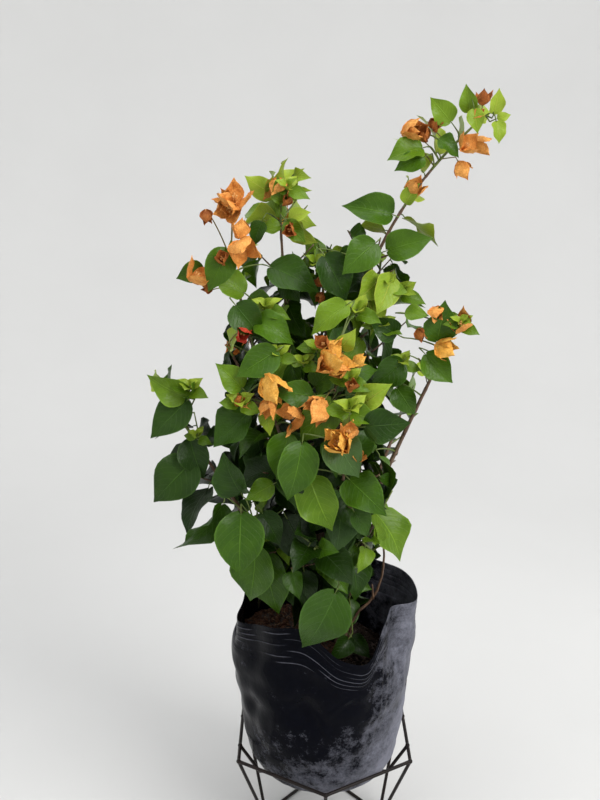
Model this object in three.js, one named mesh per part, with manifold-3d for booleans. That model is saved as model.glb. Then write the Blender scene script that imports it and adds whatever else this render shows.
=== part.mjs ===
// Bougainvillea bush in a black nursery grow bag, standing in a welded wire plant stand.
// Millimetres, +Z up, the viewing side is -Y. Sizes are first laid out about the bag's upright
// axis, with the stand's feet on Z = 0; the whole is then centred over its own footprint.

import * as THREE from 'three';
import { mergeVertices } from 'three/addons/utils/BufferGeometryUtils.js';
import Module from 'manifold-3d';

const wasm = await Module();
wasm.setup();

const GAP = 0.3;
const UP = new THREE.Vector3(0, 0, 1);

// Wire stand: a hexagon ring, legs that run in pairs to four feet, a base on the floor, a cradle.
const WIRE = 5;
const WIRE_SIDES = 8;
const WIRE_CORNER = WIRE / 2 / Math.cos(Math.PI / WIRE_SIDES);
const RING_RADIUS = 138;
const RING_Z = 153;
const FOOT_SIDE = 90;
const FOOT_FRONT = 100;
const LEG_SEAT = 6;
const CRADLE_Y = 34;
const CRADLE_HALF = 92;
const CRADLE_DROP = 1.2;

// Grow bag: rim and floor heights, wall, and the outer radius at each height from floor to rim.
const BAG_FLOOR = 112;
const BAG_RIM = 376;
const BAG_WALL = 1.6;
const BAG_SEGMENTS = 28;
const BAG_PROFILE = [
  { r: 70, z: BAG_FLOOR },
  { r: 96, z: 120 },
  { r: 107, z: 146 },
  { r: 116, z: 196 },
  { r: 123, z: 256 },
  { r: 128, z: 318 },
  { r: 130, z: BAG_RIM },
];
// Where the rim sags and the wall is pressed in: bearing and half width in degrees, depth in mm.
const RIM_SAGS = [
  { bearing: -73, width: 18, depth: 44 },
  { bearing: 170, width: 30, depth: 26 },
];
const WALL_FOLDS = [
  { bearing: -104, width: 13, depth: 9, from: 200, to: 376 },
  { bearing: -44, width: 16, depth: 7, from: 130, to: 340 },
  { bearing: -150, width: 14, depth: 4, from: 120, to: 300 },
  { bearing: 60, width: 20, depth: 6, from: 150, to: 376 },
  { bearing: 130, width: 16, depth: 5, from: 120, to: 330 },
  { bearing: 172, width: 22, depth: 28, from: 320, to: 376 },
];
const SAG_STARTS = 318;

// Soil: level round the trunk, from there rising to the left and falling away to the right, with
// rounded shoulders just inside the wall.
const SOIL_TOP = 298;
const SOIL_LEVEL_OUT = 50;
const SOIL_SHOULDER = 86;
const SOIL_EDGE = 290;
const SOIL_SLOPE = 0.2;
const SOIL_SIDE_GAP = 2.2;

// Trunk: a short stem that leans to the left, flared at the flat cut on the soil.
const TRUNK = {
  footX: 29, topX: 12, top: 442, footRadius: 8.5, flare: 4.5, topRadius: 6.2, ringCrowding: 1.6,
};

// Canes, each bare at first and leafy from there to its tip. bearing is in degrees from +X, reach
// and height place the tip, from is where it leaves the trunk, lean shapes how soon it swings out,
// level flattens its end, sway bends it sideways, bare is the share of its length without leaves,
// blooms counts the clusters near its tip.
const CANES = [
  { name: 'tall_right', bearing: -3, reach: 186, height: 1014, from: 442, lean: 3.3, level: 0.12,
    sway: 6, bare: 0.55, blooms: 5, radius: 5.2 },
  { name: 'top_left', bearing: 191, reach: 136, height: 912, from: 424, lean: 0.66, level: 0.1,
    sway: 12, bare: 0.62, blooms: 4, radius: 4.4 },
  { name: 'crown_left', bearing: 158, reach: 66, height: 926, from: 436, lean: 0.46, level: 0.05,
    sway: -12, bare: 0.68, blooms: 3, radius: 3.8 },
  { name: 'left_high', bearing: 197, reach: 172, height: 812, from: 402, lean: 0.9, level: 0.35,
    sway: -10, bare: 0.62, blooms: 3, radius: 3.8 },
  { name: 'crown_middle', bearing: 96, reach: 40, height: 846, from: 420, lean: 0.4, level: 0,
    sway: -6, bare: 0.6, blooms: 0, radius: 3.8 },
  { name: 'crown_right', bearing: 26, reach: 78, height: 836, from: 432, lean: 0.62, level: 0,
    sway: -8, bare: 0.58, blooms: 0, radius: 3.8 },
  { name: 'right_mid', bearing: -14, reach: 168, height: 772, from: 414, lean: 0.85, level: 0.2,
    sway: 8, bare: 0.52, blooms: 4, radius: 4.2 },
  { name: 'front_high', bearing: -84, reach: 100, height: 752, from: 428, lean: 0.62, level: 0.1,
    sway: 8, bare: 0.4, blooms: 2, radius: 3.8 },
  { name: 'front_left', bearing: 226, reach: 124, height: 722, from: 406, lean: 0.7, level: 0.2,
    sway: -8, bare: 0.34, blooms: 3, radius: 3.8 },
  { name: 'front_mid', bearing: -80, reach: 138, height: 640, from: 394, lean: 0.8, level: 0.5,
    sway: 6, bare: 0.3, blooms: 3, radius: 3.8 },
  { name: 'left_low', bearing: 193, reach: 214, height: 694, from: 378, lean: 0.62, level: 0.1,
    sway: 10, bare: 0.4, blooms: 0, radius: 4.4 },
  { name: 'right_low', bearing: -24, reach: 128, height: 610, from: 384, lean: 0.8, level: 0.4,
    sway: -6, bare: 0.3, blooms: 0, radius: 3.8 },
  { name: 'low_left', bearing: 222, reach: 124, height: 520, from: 362, lean: 0.9, level: 0.8,
    sway: 6, bare: 0.24, blooms: 0, radius: 3.4 },
  { name: 'low_front', bearing: -98, reach: 116, height: 500, from: 354, lean: 0.9, level: 0.9,
    sway: 4, bare: 0.24, blooms: 0, radius: 3.2 },
  { name: 'low_right', bearing: -46, reach: 104, height: 486, from: 350, lean: 0.9, level: 0.7,
    sway: 4, bare: 0.3, blooms: 0, radius: 3.0 },
  { name: 'back_high', bearing: 72, reach: 122, height: 800, from: 408, lean: 0.68, level: 0.2,
    sway: 8, bare: 0.5, blooms: 2, radius: 4.0 },
  { name: 'back_left', bearing: 138, reach: 158, height: 690, from: 396, lean: 0.75, level: 0.3,
    sway: -8, bare: 0.42, blooms: 2, radius: 4.0 },
  { name: 'back_right', bearing: 36, reach: 156, height: 672, from: 388, lean: 0.75, level: 0.35,
    sway: 6, bare: 0.42, blooms: 1, radius: 4.0 },
  { name: 'back_low', bearing: 98, reach: 134, height: 530, from: 368, lean: 0.85, level: 0.8,
    sway: 4, bare: 0.34, blooms: 0, radius: 3.4 },
];

// Leaves: heart-shaped blades that narrow to a stalk, set alternately by a fixed turn round the
// stem. along and across give the blade's half width at three places of its length. Low leaves
// hang and young ones at the tip stand along their stem.
const LEAF = {
  length: 90, width: 0.66, thick: 1.2, rootHalf: 0.5, rootDepth: 0.8, curl: 0.1, young: 0.5,
  along: [0.38, 0.66, 1], across: [0.5, 0.4, 0], spacing: 27, fewest: 5, turn: 137.5, loose: 54,
};
const LEAF_POSE = {
  hang: 1.15, hangSpread: 0.5, tiltSpread: 0.6, lowForward: 0.15, tipForward: 0.9,
  faceUp: 0.4, faceOut: 0.4, faceCrown: 0.75,
};
const LEAF_TRIES = [0, 50, -50, 100, -100, 150];
const LEAF_SIZES = [1, 0.8, 0.64];
const LEAF_SAMPLES = [0.2, 0.38, 0.52, 0.66, 0.83, 1];

// Side twigs, and the three-lobed cups of papery bracts on their stalks.
const TWIG = { every: 2, length: 66, radius: 1.9, leaves: 3, forward: 0.6, rise: 0.3, bare: 0.4 };
const TWIG_SIZES = [1, 0.7, 0.45];
const BLOOM = {
  stalk: 20, depth: 28, lobe: 22, notch: 0.45, notchDrop: 8, hollow: 20, root: 0.8, neck: 1.2,
  forward: 0.8, rise: 0.2,
};

// Limbs as meshes, and the points along them that the room tests use.
const BOUGH_SIDES = 5;
const BOUGH_RINGS = 4;
const STEM_SIDES = 3;
const STEM_RINGS = 6;
const STEM_TIP = 2.2;
const TRUNK_SIDES = 10;
const TRUNK_RINGS = 6;
const SAMPLES = 16;

// Room that each mass keeps to: nearer to its own stem than to any other, and off every limb.
const SPACE_MARGIN = 1.2;
const LIMB_ROOM = 7;
const BAG_ROOM = 7;
const RIM_ROOM = 13;
const LEAF_ROOM = 8;

const LEAF_GREEN = 0x3f7a2c;
const BARK_BROWN = 0x6d5238;
const BAG_BLACK = 0x15171c;
const SOIL_BROWN = 0x3b2a1e;
const WIRE_BLACK = 0x241f1d;

const plant = new THREE.Group();

function addPart(name, geometry, color, roughness, metalness) {
  const material = new THREE.MeshStandardMaterial({ color, roughness, metalness });
  const mesh = new THREE.Mesh(geometry, material);
  mesh.name = name;
  plant.add(mesh);
}

// Welds coincident corners and drops the flat triangles that a closed pole or tip leaves.
function weld(geometry) {
  const bare = geometry.clone();
  bare.deleteAttribute('normal');
  bare.deleteAttribute('uv');
  const merged = mergeVertices(bare, 1e-4);
  const index = merged.index.array;
  const kept = [];
  for (let i = 0; i < index.length; i += 3) {
    const [a, b, c] = [index[i], index[i + 1], index[i + 2]];
    if (a !== b && b !== c && c !== a) {
      kept.push(a, b, c);
    }
  }
  merged.setIndex(kept);
  return merged;
}

function toSolid(geometry) {
  const welded = weld(geometry);
  return new wasm.Manifold(new wasm.Mesh({
    numProp: 3,
    vertProperties: new Float32Array(welded.attributes.position.array),
    triVerts: new Uint32Array(welded.index.array),
  }));
}

function toGeometry(solid) {
  const mesh = solid.getMesh();
  const geometry = new THREE.BufferGeometry();
  geometry.setAttribute('position', new THREE.BufferAttribute(new Float32Array(mesh.vertProperties), 3));
  geometry.setIndex(new THREE.BufferAttribute(new Uint32Array(mesh.triVerts), 1));
  geometry.computeVertexNormals();
  return geometry;
}

// The one body that matters in a fused or cut piece; scraps and sealed hollows are dropped.
function largestBody(solid) {
  let best = null;
  for (const body of solid.decompose()) {
    if (best === null || body.volume() > best.volume()) {
      best = body;
    }
  }
  return best;
}

// A cylinder of unit radius and unit height, each ring carried to its place by a function of
// the ring's number and of the corner's place on the unit circle.
function loft(sides, rings, place) {
  const geometry = new THREE.CylinderGeometry(1, 1, 1, sides, rings);
  const position = geometry.attributes.position;
  for (let i = 0; i < position.count; i += 1) {
    const ring = Math.round((position.getY(i) + 0.5) * rings);
    const point = place(ring, position.getX(i), position.getZ(i));
    position.setXYZ(i, point.x, point.y, point.z);
  }
  return geometry;
}

function radians(degrees) {
  return (degrees * Math.PI) / 180;
}

function mix(a, b, t) {
  return a + (b - a) * t;
}

// A steady stream of numbers from 0 to 1 for a given seed.
function randomFrom(seed) {
  let state = seed >>> 0;
  return () => {
    state = (state + 0x6d2b79f5) >>> 0;
    let t = state;
    t = Math.imul(t ^ (t >>> 15), t | 1);
    t ^= t + Math.imul(t ^ (t >>> 7), t | 61);
    return ((t ^ (t >>> 14)) >>> 0) / 4294967296;
  };
}

// Stand. Every wire is a straight length, cut short of the corner where it meets the others.
function wireBetween(name, from, to, trimFrom, trimTo) {
  const direction = to.clone().sub(from).normalize();
  const start = from.clone().addScaledVector(direction, trimFrom);
  const end = to.clone().addScaledVector(direction, -trimTo);
  const length = start.distanceTo(end);
  const geometry = new THREE.CylinderGeometry(WIRE_CORNER, WIRE_CORNER, length, WIRE_SIDES);
  geometry.rotateY(Math.PI / WIRE_SIDES);
  const level = new THREE.Vector3().crossVectors(direction, UP).normalize();
  const over = new THREE.Vector3().crossVectors(level, direction);
  const turn = new THREE.Matrix4().makeBasis(level, direction, over);
  geometry.applyMatrix4(turn);
  const middle = start.add(end).multiplyScalar(0.5);
  geometry.translate(middle.x, middle.y, middle.z);
  addPart(name, weld(geometry), WIRE_BLACK, 0.5, 0.6);
}

function ringCorner(index) {
  const bearing = radians(-90 + 60 * index);
  return new THREE.Vector3(Math.cos(bearing), Math.sin(bearing), 0)
    .multiplyScalar(RING_RADIUS)
    .setZ(RING_Z);
}

function buildStand() {
  const mitre = (WIRE / 2) * Math.tan(radians(30)) + GAP;
  for (let i = 0; i < 6; i += 1) {
    wireBetween(`ring_wire_${i + 1}`, ringCorner(i), ringCorner((i + 1) % 6), mitre, mitre);
  }

  const feet = [
    new THREE.Vector3(0, -FOOT_FRONT, WIRE / 2),
    new THREE.Vector3(FOOT_SIDE, 0, WIRE / 2),
    new THREE.Vector3(0, FOOT_FRONT, WIRE / 2),
    new THREE.Vector3(-FOOT_SIDE, 0, WIRE / 2),
  ];
  // At the front and back feet one base wire runs through under the leg and the next butts on it.
  const footAngle = 2 * Math.atan(FOOT_SIDE / FOOT_FRONT);
  const through = -WIRE / 2;
  const sideTrim = WIRE / 2 + GAP;
  const buttTrim = (WIRE_CORNER * (1 + Math.cos(footAngle)) + GAP) / Math.sin(footAngle);
  for (let i = 0; i < 4; i += 1) {
    const [trimFrom, trimTo] = i % 2 === 0 ? [through, sideTrim] : [sideTrim, buttTrim];
    wireBetween(`base_wire_${i + 1}`, feet[i], feet[(i + 1) % 4], trimFrom, trimTo);
  }

  // Ring corner, foot, the foot at the far end of the base wire that carries the leg, and how far
  // along that wire it stands. The side legs run in pairs.
  const legs = [
    ['leg_front', 0, 0, 1, 0],
    ['leg_right_front', 1, 1, 0, LEG_SEAT],
    ['leg_right_back', 2, 1, 2, LEG_SEAT],
    ['leg_back', 3, 2, 3, 0],
    ['leg_left_back', 4, 3, 2, LEG_SEAT],
    ['leg_left_front', 5, 3, 0, LEG_SEAT],
  ];
  for (const [name, corner, foot, next, seat] of legs) {
    const base = feet[next].clone().sub(feet[foot]).normalize();
    const bottom = feet[foot].clone().addScaledVector(base, seat);
    const top = ringCorner(corner);
    const along = top.clone().sub(bottom).normalize();
    const lean = Math.abs(along.dot(base));
    const onBase = (WIRE_CORNER * (1 + lean)) / Math.sqrt(1 - lean * lean) + GAP;
    const slope = Math.acos(along.z);
    const underRing = (WIRE / 2 + GAP + WIRE_CORNER * Math.sin(slope)) / Math.cos(slope);
    wireBetween(name, bottom, top, onBase, underRing);
  }
}

// Two cradle wires hang from the ring's side wires and cross under the bag.
function buildCradle() {
  const level = BAG_FLOOR - GAP - WIRE / 2;
  const ringSideX = RING_RADIUS * Math.cos(radians(30));
  const endZ = RING_Z - WIRE / 2 - GAP - CRADLE_DROP;
  const bend = Math.atan2(endZ - level, ringSideX - CRADLE_HALF);
  for (const [name, y] of [['cradle_wire_front', -CRADLE_Y], ['cradle_wire_back', CRADLE_Y]]) {
    const stops = [
      new THREE.Vector3(-ringSideX, y, endZ),
      new THREE.Vector3(-CRADLE_HALF, y, level),
      new THREE.Vector3(CRADLE_HALF, y, level),
      new THREE.Vector3(ringSideX, y, endZ),
    ];
    const turned = Math.PI / WIRE_SIDES;
    const geometry = loft(WIRE_SIDES, stops.length - 1, (ring, x, z) => {
      const before = stops[Math.max(ring - 1, 0)];
      const after = stops[Math.min(ring + 1, stops.length - 1)];
      const here = stops[ring];
      const first = here.clone().sub(before).normalize();
      const second = after.clone().sub(here).normalize();
      const along = first.add(second).normalize();
      const over = new THREE.Vector3(-along.z, 0, along.x);
      const mitre = ring === 0 || ring === stops.length - 1 ? 1 : 1 / Math.cos(bend / 2);
      const u = (x * Math.cos(turned) - z * Math.sin(turned)) * WIRE_CORNER;
      const v = (x * Math.sin(turned) + z * Math.cos(turned)) * WIRE_CORNER * mitre;
      return here.clone().addScaledVector(over, v).add(new THREE.Vector3(0, -u, 0));
    });
    addPart(name, weld(geometry), WIRE_BLACK, 0.5, 0.6);
  }
}

// Bag wall: how far a corner of the turned profile sags or is pressed in at its bearing.
function bump(bearing, place) {
  let turn = Math.abs(bearing - place.bearing) % 360;
  turn = Math.min(turn, 360 - turn);
  return Math.exp(-((turn / place.width) ** 2));
}

function smoothRise(from, to, value) {
  const t = Math.min(Math.max((value - from) / (to - from), 0), 1);
  return t * t * (3 - 2 * t);
}

function shapeBag(x, y, z) {
  const bearing = (Math.atan2(y, x) * 180) / Math.PI;
  let radius = Math.hypot(x, y);
  let height = z;
  const share = radius / BAG_PROFILE[BAG_PROFILE.length - 1].r;
  for (const fold of WALL_FOLDS) {
    const middle = (fold.from + fold.to) / 2;
    const upright = smoothRise(fold.from, middle, z);
    radius -= fold.depth * bump(bearing, fold) * upright * Math.min(share ** 4, 1);
  }
  for (const sag of RIM_SAGS) {
    height -= sag.depth * bump(bearing, sag) * smoothRise(SAG_STARTS, BAG_RIM, z) * share;
  }
  const turn = Math.atan2(y, x);
  return new THREE.Vector3(radius * Math.cos(turn), radius * Math.sin(turn), height);
}

function bagRadiusAt(height) {
  const at = BAG_PROFILE.findIndex((ring) => ring.z >= height);
  if (at <= 0) {
    return at === 0 ? BAG_PROFILE[0].r : BAG_PROFILE[BAG_PROFILE.length - 1].r;
  }
  const [low, high] = [BAG_PROFILE[at - 1], BAG_PROFILE[at]];
  return mix(low.r, high.r, (height - low.z) / (high.z - low.z));
}

function turnedPiece(profile, place) {
  const geometry = new THREE.LatheGeometry(profile, BAG_SEGMENTS);
  geometry.rotateX(Math.PI / 2);
  const position = geometry.attributes.position;
  for (let i = 0; i < position.count; i += 1) {
    const moved = place(position.getX(i), position.getY(i), position.getZ(i));
    position.setXYZ(i, moved.x, moved.y, moved.z);
  }
  return weld(geometry);
}

function buildBag() {
  const outer = BAG_PROFILE.map((ring) => new THREE.Vector2(ring.r, ring.z));
  const inner = BAG_PROFILE.map((ring) => new THREE.Vector2(ring.r - BAG_WALL, ring.z));
  inner[0].y += BAG_WALL;
  inner[1].y += BAG_WALL * 0.8;
  const floor = [new THREE.Vector2(0, BAG_FLOOR)];
  const inside = [new THREE.Vector2(0, BAG_FLOOR + BAG_WALL)];
  const wall = [...floor, ...outer, ...inner.reverse(), ...inside];
  addPart('grow_bag', turnedPiece(wall, shapeBag), BAG_BLACK, 0.38, 0);
}

function buildSoil() {
  const clear = BAG_WALL + SOIL_SIDE_GAP;
  const floorClear = BAG_WALL + GAP;
  const sides = BAG_PROFILE
    .filter((ring) => ring.z < SOIL_EDGE - 30)
    .map((ring) => new THREE.Vector2(ring.r - clear, ring.z));
  sides[0].y += floorClear;
  sides[1].y += floorClear;
  const profile = [
    new THREE.Vector2(0, BAG_FLOOR + floorClear),
    ...sides,
    new THREE.Vector2(bagRadiusAt(SOIL_EDGE - 26) - clear, SOIL_EDGE),
    new THREE.Vector2(SOIL_SHOULDER, SOIL_TOP - 2),
    new THREE.Vector2(SOIL_LEVEL_OUT, SOIL_TOP),
    new THREE.Vector2(0, SOIL_TOP),
  ];
  addPart('potting_soil', turnedPiece(profile, (x, y, z) => {
    const moved = shapeBag(x, y, z);
    const outer = smoothRise(SOIL_LEVEL_OUT, 100, Math.hypot(x, y));
    moved.z -= z >= SOIL_EDGE ? SOIL_SLOPE * x * outer : 0;
    return moved;
  }), SOIL_BROWN, 1, 0);
}

// Trunk.
function trunkPoint(height) {
  const t = (height - SOIL_TOP) / (TRUNK.top - SOIL_TOP);
  return new THREE.Vector3(mix(TRUNK.footX, TRUNK.topX, t), 0, height);
}

function trunkRadius(height) {
  const t = (height - SOIL_TOP) / (TRUNK.top - SOIL_TOP);
  return mix(TRUNK.footRadius, TRUNK.topRadius, t) + TRUNK.flare * (1 - t) ** 6;
}

function trunkSolid(extra) {
  const foot = SOIL_TOP + GAP;
  return toSolid(loft(TRUNK_SIDES, TRUNK_RINGS, (ring, x, z) => {
    const height = mix(foot, TRUNK.top, (ring / TRUNK_RINGS) ** TRUNK.ringCrowding);
    const radius = trunkRadius(height) + extra;
    return trunkPoint(height).add(new THREE.Vector3(x * radius, -z * radius, 0));
  }));
}

// Cane curve: out along its bearing, up to its tip, and a little to the side.
function canePoint(cane, s) {
  const bearing = radians(cane.bearing);
  const start = trunkPoint(cane.from);
  const tip = new THREE.Vector3(cane.reach * Math.cos(bearing), cane.reach * Math.sin(bearing), 0);
  const outX = tip.x - start.x;
  const outY = tip.y - start.y;
  const out = s ** cane.lean;
  const up = s + cane.level * s * (1 - s);
  const aside = cane.sway * Math.sin(2 * Math.PI * s) * (1 - s) * 2;
  return new THREE.Vector3(
    start.x + outX * out - Math.sin(bearing) * aside,
    start.y + outY * out + Math.cos(bearing) * aside,
    start.z + (cane.height - start.z) * up,
  );
}

function caneFrame(cane, s) {
  const step = 0.004;
  const before = canePoint(cane, Math.max(s - step, 0));
  const after = canePoint(cane, Math.min(s + step, 1));
  const along = after.sub(before).normalize();
  const bearing = radians(cane.bearing);
  const aside = new THREE.Vector3(-Math.sin(bearing), Math.cos(bearing), 0);
  const over = new THREE.Vector3().crossVectors(aside, along).normalize();
  const level = new THREE.Vector3().crossVectors(along, over);
  return { along, over, level };
}

function caneLength(cane, from) {
  let length = 0;
  const steps = 24;
  for (let i = 0; i < steps; i += 1) {
    const a = canePoint(cane, mix(from, 1, i / steps));
    const b = canePoint(cane, mix(from, 1, (i + 1) / steps));
    length += a.distanceTo(b);
  }
  return length;
}

function caneRadius(cane, s) {
  return mix(cane.radius, STEM_TIP, s ** 0.8);
}

function limbSolid(cane, from, to, sides, rings, extra) {
  return toSolid(loft(sides, rings, (ring, x, z) => {
    const s = mix(from, to, ring / rings);
    const { over, level } = caneFrame(cane, s);
    const radius = caneRadius(cane, s) + extra;
    return canePoint(cane, s).addScaledVector(over, x * radius).addScaledVector(level, -z * radius);
  }));
}

// Points that the room tests use: the stems of all masses, and every bare limb with its radius.
function evenSteps(from, to) {
  return Array.from({ length: SAMPLES }, (unused, i) => mix(from, to, i / (SAMPLES - 1)));
}

const STEMS = CANES.map((cane) => evenSteps(cane.bare, 1).map((s) => canePoint(cane, s)));
const LIMBS = CANES.flatMap((cane) => evenSteps(0, cane.bare * 0.95).map((s) => (
  { point: canePoint(cane, s), radius: caneRadius(cane, s) }
)));
for (const t of evenSteps(0, 1)) {
  const height = mix(SOIL_TOP, TRUNK.top, t);
  LIMBS.push({ point: trunkPoint(height), radius: trunkRadius(height) });
}

function clearOfBag(point) {
  if (point.z > BAG_RIM + BAG_ROOM) {
    return true;
  }
  const radius = Math.hypot(point.x, point.y);
  const wall = bagRadiusAt(point.z);
  const outside = radius > wall + BAG_ROOM;
  const inside = radius < wall - RIM_ROOM && point.z > SOIL_TOP + BAG_ROOM;
  return outside || inside;
}

function hasRoom(mass, points, taken) {
  const own = STEMS[mass.number];
  const others = STEMS.filter((stem) => stem !== own);
  return points.every((point) => {
    const reach = Math.min(...own.map((sample) => sample.distanceTo(point))) + SPACE_MARGIN;
    return clearOfBag(point)
      && others.every((stem) => stem.every((sample) => sample.distanceTo(point) >= reach))
      && LIMBS.every((limb) => limb.point.distanceTo(point) >= limb.radius + LIMB_ROOM)
      && taken.every((other) => other.distanceTo(point) >= LEAF_ROOM);
  });
}

// The direction that leaves a stem at a turn round it.
function outward(frame, turn) {
  const angle = radians(turn);
  return frame.over.clone().multiplyScalar(Math.cos(angle)).addScaledVector(frame.level, Math.sin(angle));
}

// A blade with its stalk in one closed body: a three-cornered section, flat above, keeled below.
function bladeGeometry(blade) {
  const { root, along, above, length } = blade;
  const side = new THREE.Vector3().crossVectors(above, along);
  const stations = [{ at: 0, half: LEAF.rootHalf, depth: LEAF.rootDepth, lift: LEAF.rootDepth / 2 }];
  LEAF.along.forEach((share, i) => {
    stations.push({
      at: share * length,
      half: LEAF.across[i] * length * LEAF.width,
      depth: share < 1 ? LEAF.thick : 0,
      lift: -LEAF.curl * length * share * share,
    });
  });
  return loft(3, stations.length - 1, (ring, x, z) => {
    const station = stations[ring];
    const across = x / Math.sin(radians(120));
    const down = (z + 0.5) / 1.5;
    return root.clone()
      .addScaledVector(along, station.at)
      .addScaledVector(side, across * station.half)
      .addScaledVector(above, station.lift - station.depth * down);
  });
}

function bladePoints(blade) {
  const { root, along, above, length } = blade;
  const side = new THREE.Vector3().crossVectors(above, along);
  const [shoulder] = LEAF.along;
  return LEAF_SAMPLES.flatMap((share) => {
    const half = length * LEAF.width * (share < shoulder ? 0.26 : Math.min(1 - share, 0.5));
    return [-1, -0.5, 0, 0.5, 1].map((across) => root.clone()
      .addScaledVector(along, share * length)
      .addScaledVector(side, across * half)
      .addScaledVector(above, -LEAF.curl * length * share * share));
  });
}

// One leaf at a place on a stem, tried at several turns and sizes until it has room.
function growLeaf(mass, root, frame, turn, share, size) {
  const hang = mix(LEAF_POSE.hang, 0, share ** 1.5) + (mass.random() - 0.5) * LEAF_POSE.hangSpread;
  const tilt = (mass.random() - 0.5) * LEAF_POSE.tiltSpread;
  const crownOut = new THREE.Vector3(root.x - TRUNK.topX, root.y, 0).normalize();
  for (const smaller of LEAF_SIZES) {
    for (const aside of LEAF_TRIES) {
      const out = outward(frame, turn + aside);
      const along = out.clone()
        .addScaledVector(frame.along, mix(LEAF_POSE.lowForward, LEAF_POSE.tipForward, share))
        .addScaledVector(UP, -hang)
        .normalize();
      const facing = UP.clone().multiplyScalar(LEAF_POSE.faceUp)
        .addScaledVector(out, LEAF_POSE.faceOut)
        .addScaledVector(crownOut, LEAF_POSE.faceCrown)
        .addScaledVector(frame.level, tilt);
      const above = facing.addScaledVector(along, -facing.dot(along)).normalize();
      const blade = { root, along, above, length: size * smaller };
      const points = bladePoints(blade);
      if (hasRoom(mass, points, mass.taken)) {
        mass.taken.push(...points);
        mass.pieces.push(bladeGeometry(blade));
        return;
      }
    }
  }
}

// A cluster of three papery bracts: one three-lobed cup at the end of its stalk.
function growBloom(mass, root, frame, turn) {
  const size = mix(0.85, 1.15, mass.random());
  const mouth = BLOOM.stalk + BLOOM.depth * size;
  const lobe = BLOOM.lobe * size;
  const rings = [
    { ahead: 0, lobe: BLOOM.root, notch: BLOOM.root, drop: 0, hollow: 0 },
    { ahead: BLOOM.stalk, lobe: BLOOM.neck, notch: BLOOM.neck, drop: 0, hollow: 0 },
    {
      ahead: mouth, lobe, notch: lobe * BLOOM.notch, drop: BLOOM.notchDrop * size,
      hollow: BLOOM.hollow * size,
    },
  ];
  for (const aside of LEAF_TRIES) {
    const axis = outward(frame, turn + aside)
      .addScaledVector(frame.along, BLOOM.forward)
      .addScaledVector(UP, BLOOM.rise)
      .normalize();
    const flat = new THREE.Vector3().crossVectors(axis, UP).normalize();
    const rest = new THREE.Vector3().crossVectors(axis, flat);
    const place = (ahead, x, z) => root.clone()
      .addScaledVector(axis, ahead).addScaledVector(flat, x).addScaledVector(rest, -z);
    const points = [place(BLOOM.stalk, 0, 0), place(mouth, 0, 0)];
    for (let spin = 0; spin < 360; spin += 60) {
      points.push(place(mouth, lobe * Math.sin(radians(spin)), lobe * Math.cos(radians(spin))));
    }
    if (hasRoom(mass, points, mass.taken)) {
      mass.taken.push(...points);
      mass.pieces.push(loft(6, rings.length - 1, (number, x, z) => {
        const ring = rings[number];
        if (Math.hypot(x, z) < 0.5) {
          return place(ring.ahead - ring.hollow, 0, 0);
        }
        const lobed = Math.round(Math.atan2(x, z) / (Math.PI / 3)) % 2 === 0;
        const reach = lobed ? ring.lobe : ring.notch;
        return place(ring.ahead - (lobed ? 0 : ring.drop), x * reach, z * reach);
      }));
      return;
    }
  }
}

// A side twig with leaves of its own, shortened until it has room.
function growTwig(mass, root, frame, turn, share, size) {
  const length = TWIG.length * mix(1.1, 0.6, share) * mix(0.8, 1.15, mass.random());
  const along = outward(frame, turn)
    .addScaledVector(frame.along, TWIG.forward)
    .addScaledVector(UP, TWIG.rise)
    .normalize();
  const over = new THREE.Vector3().crossVectors(along, UP).normalize();
  const level = new THREE.Vector3().crossVectors(along, over);
  for (const shorter of TWIG_SIZES) {
    const placeAt = (t) => root.clone().addScaledVector(along, length * shorter * t);
    const samples = evenSteps(TWIG.bare, 1).map(placeAt);
    if (hasRoom(mass, samples, [])) {
      mass.pieces.push(loft(3, 1, (ring, x, z) => placeAt(ring)
        .addScaledVector(over, x * TWIG.radius)
        .addScaledVector(level, -z * TWIG.radius)));
      for (let k = 1; k <= TWIG.leaves; k += 1) {
        const t = Math.min(k / TWIG.leaves, 0.98);
        const leafSize = size * mix(0.95, 0.7, t);
        growLeaf(mass, placeAt(t), { along, over, level }, LEAF.turn * k + turn, share, leafSize);
      }
      return;
    }
  }
}

// Everything that grows on one mass's stem, in order from its foot to its tip.
function growMass(cane, number) {
  const mass = { number, random: randomFrom(1000 + 17 * number), pieces: [], taken: [] };
  const length = caneLength(cane, cane.bare);
  const count = Math.max(Math.round(length / LEAF.spacing), LEAF.fewest);
  for (let i = 0; i < count; i += 1) {
    const share = (i + 0.6) / count;
    const s = mix(cane.bare, 1, share);
    const frame = caneFrame(cane, s);
    const root = canePoint(cane, s);
    const turn = LEAF.turn * i + LEAF.loose * mass.random();
    const size = LEAF.length * mix(0.86, 1.16, mass.random()) * mix(1, LEAF.young, share ** 2);
    growLeaf(mass, root, frame, turn, share, size);
    if (i >= count - cane.blooms) {
      growBloom(mass, root, frame, turn + 180);
    } else if (i % TWIG.every === 1) {
      growTwig(mass, root, frame, turn + 180, share, size);
    }
  }
  const tipFrame = caneFrame(cane, 1);
  const tip = canePoint(cane, 1).addScaledVector(tipFrame.along, -STEM_TIP);
  growLeaf(mass, tip, tipFrame, 90, 1, LEAF.length * LEAF.young);

  const start = cane.bare + (GAP * (1 - cane.bare)) / length;
  let solid = limbSolid(cane, start, 1, STEM_SIDES, STEM_RINGS, 0);
  for (const piece of mass.pieces) {
    solid = solid.add(toSolid(piece));
  }
  return largestBody(solid);
}

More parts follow.
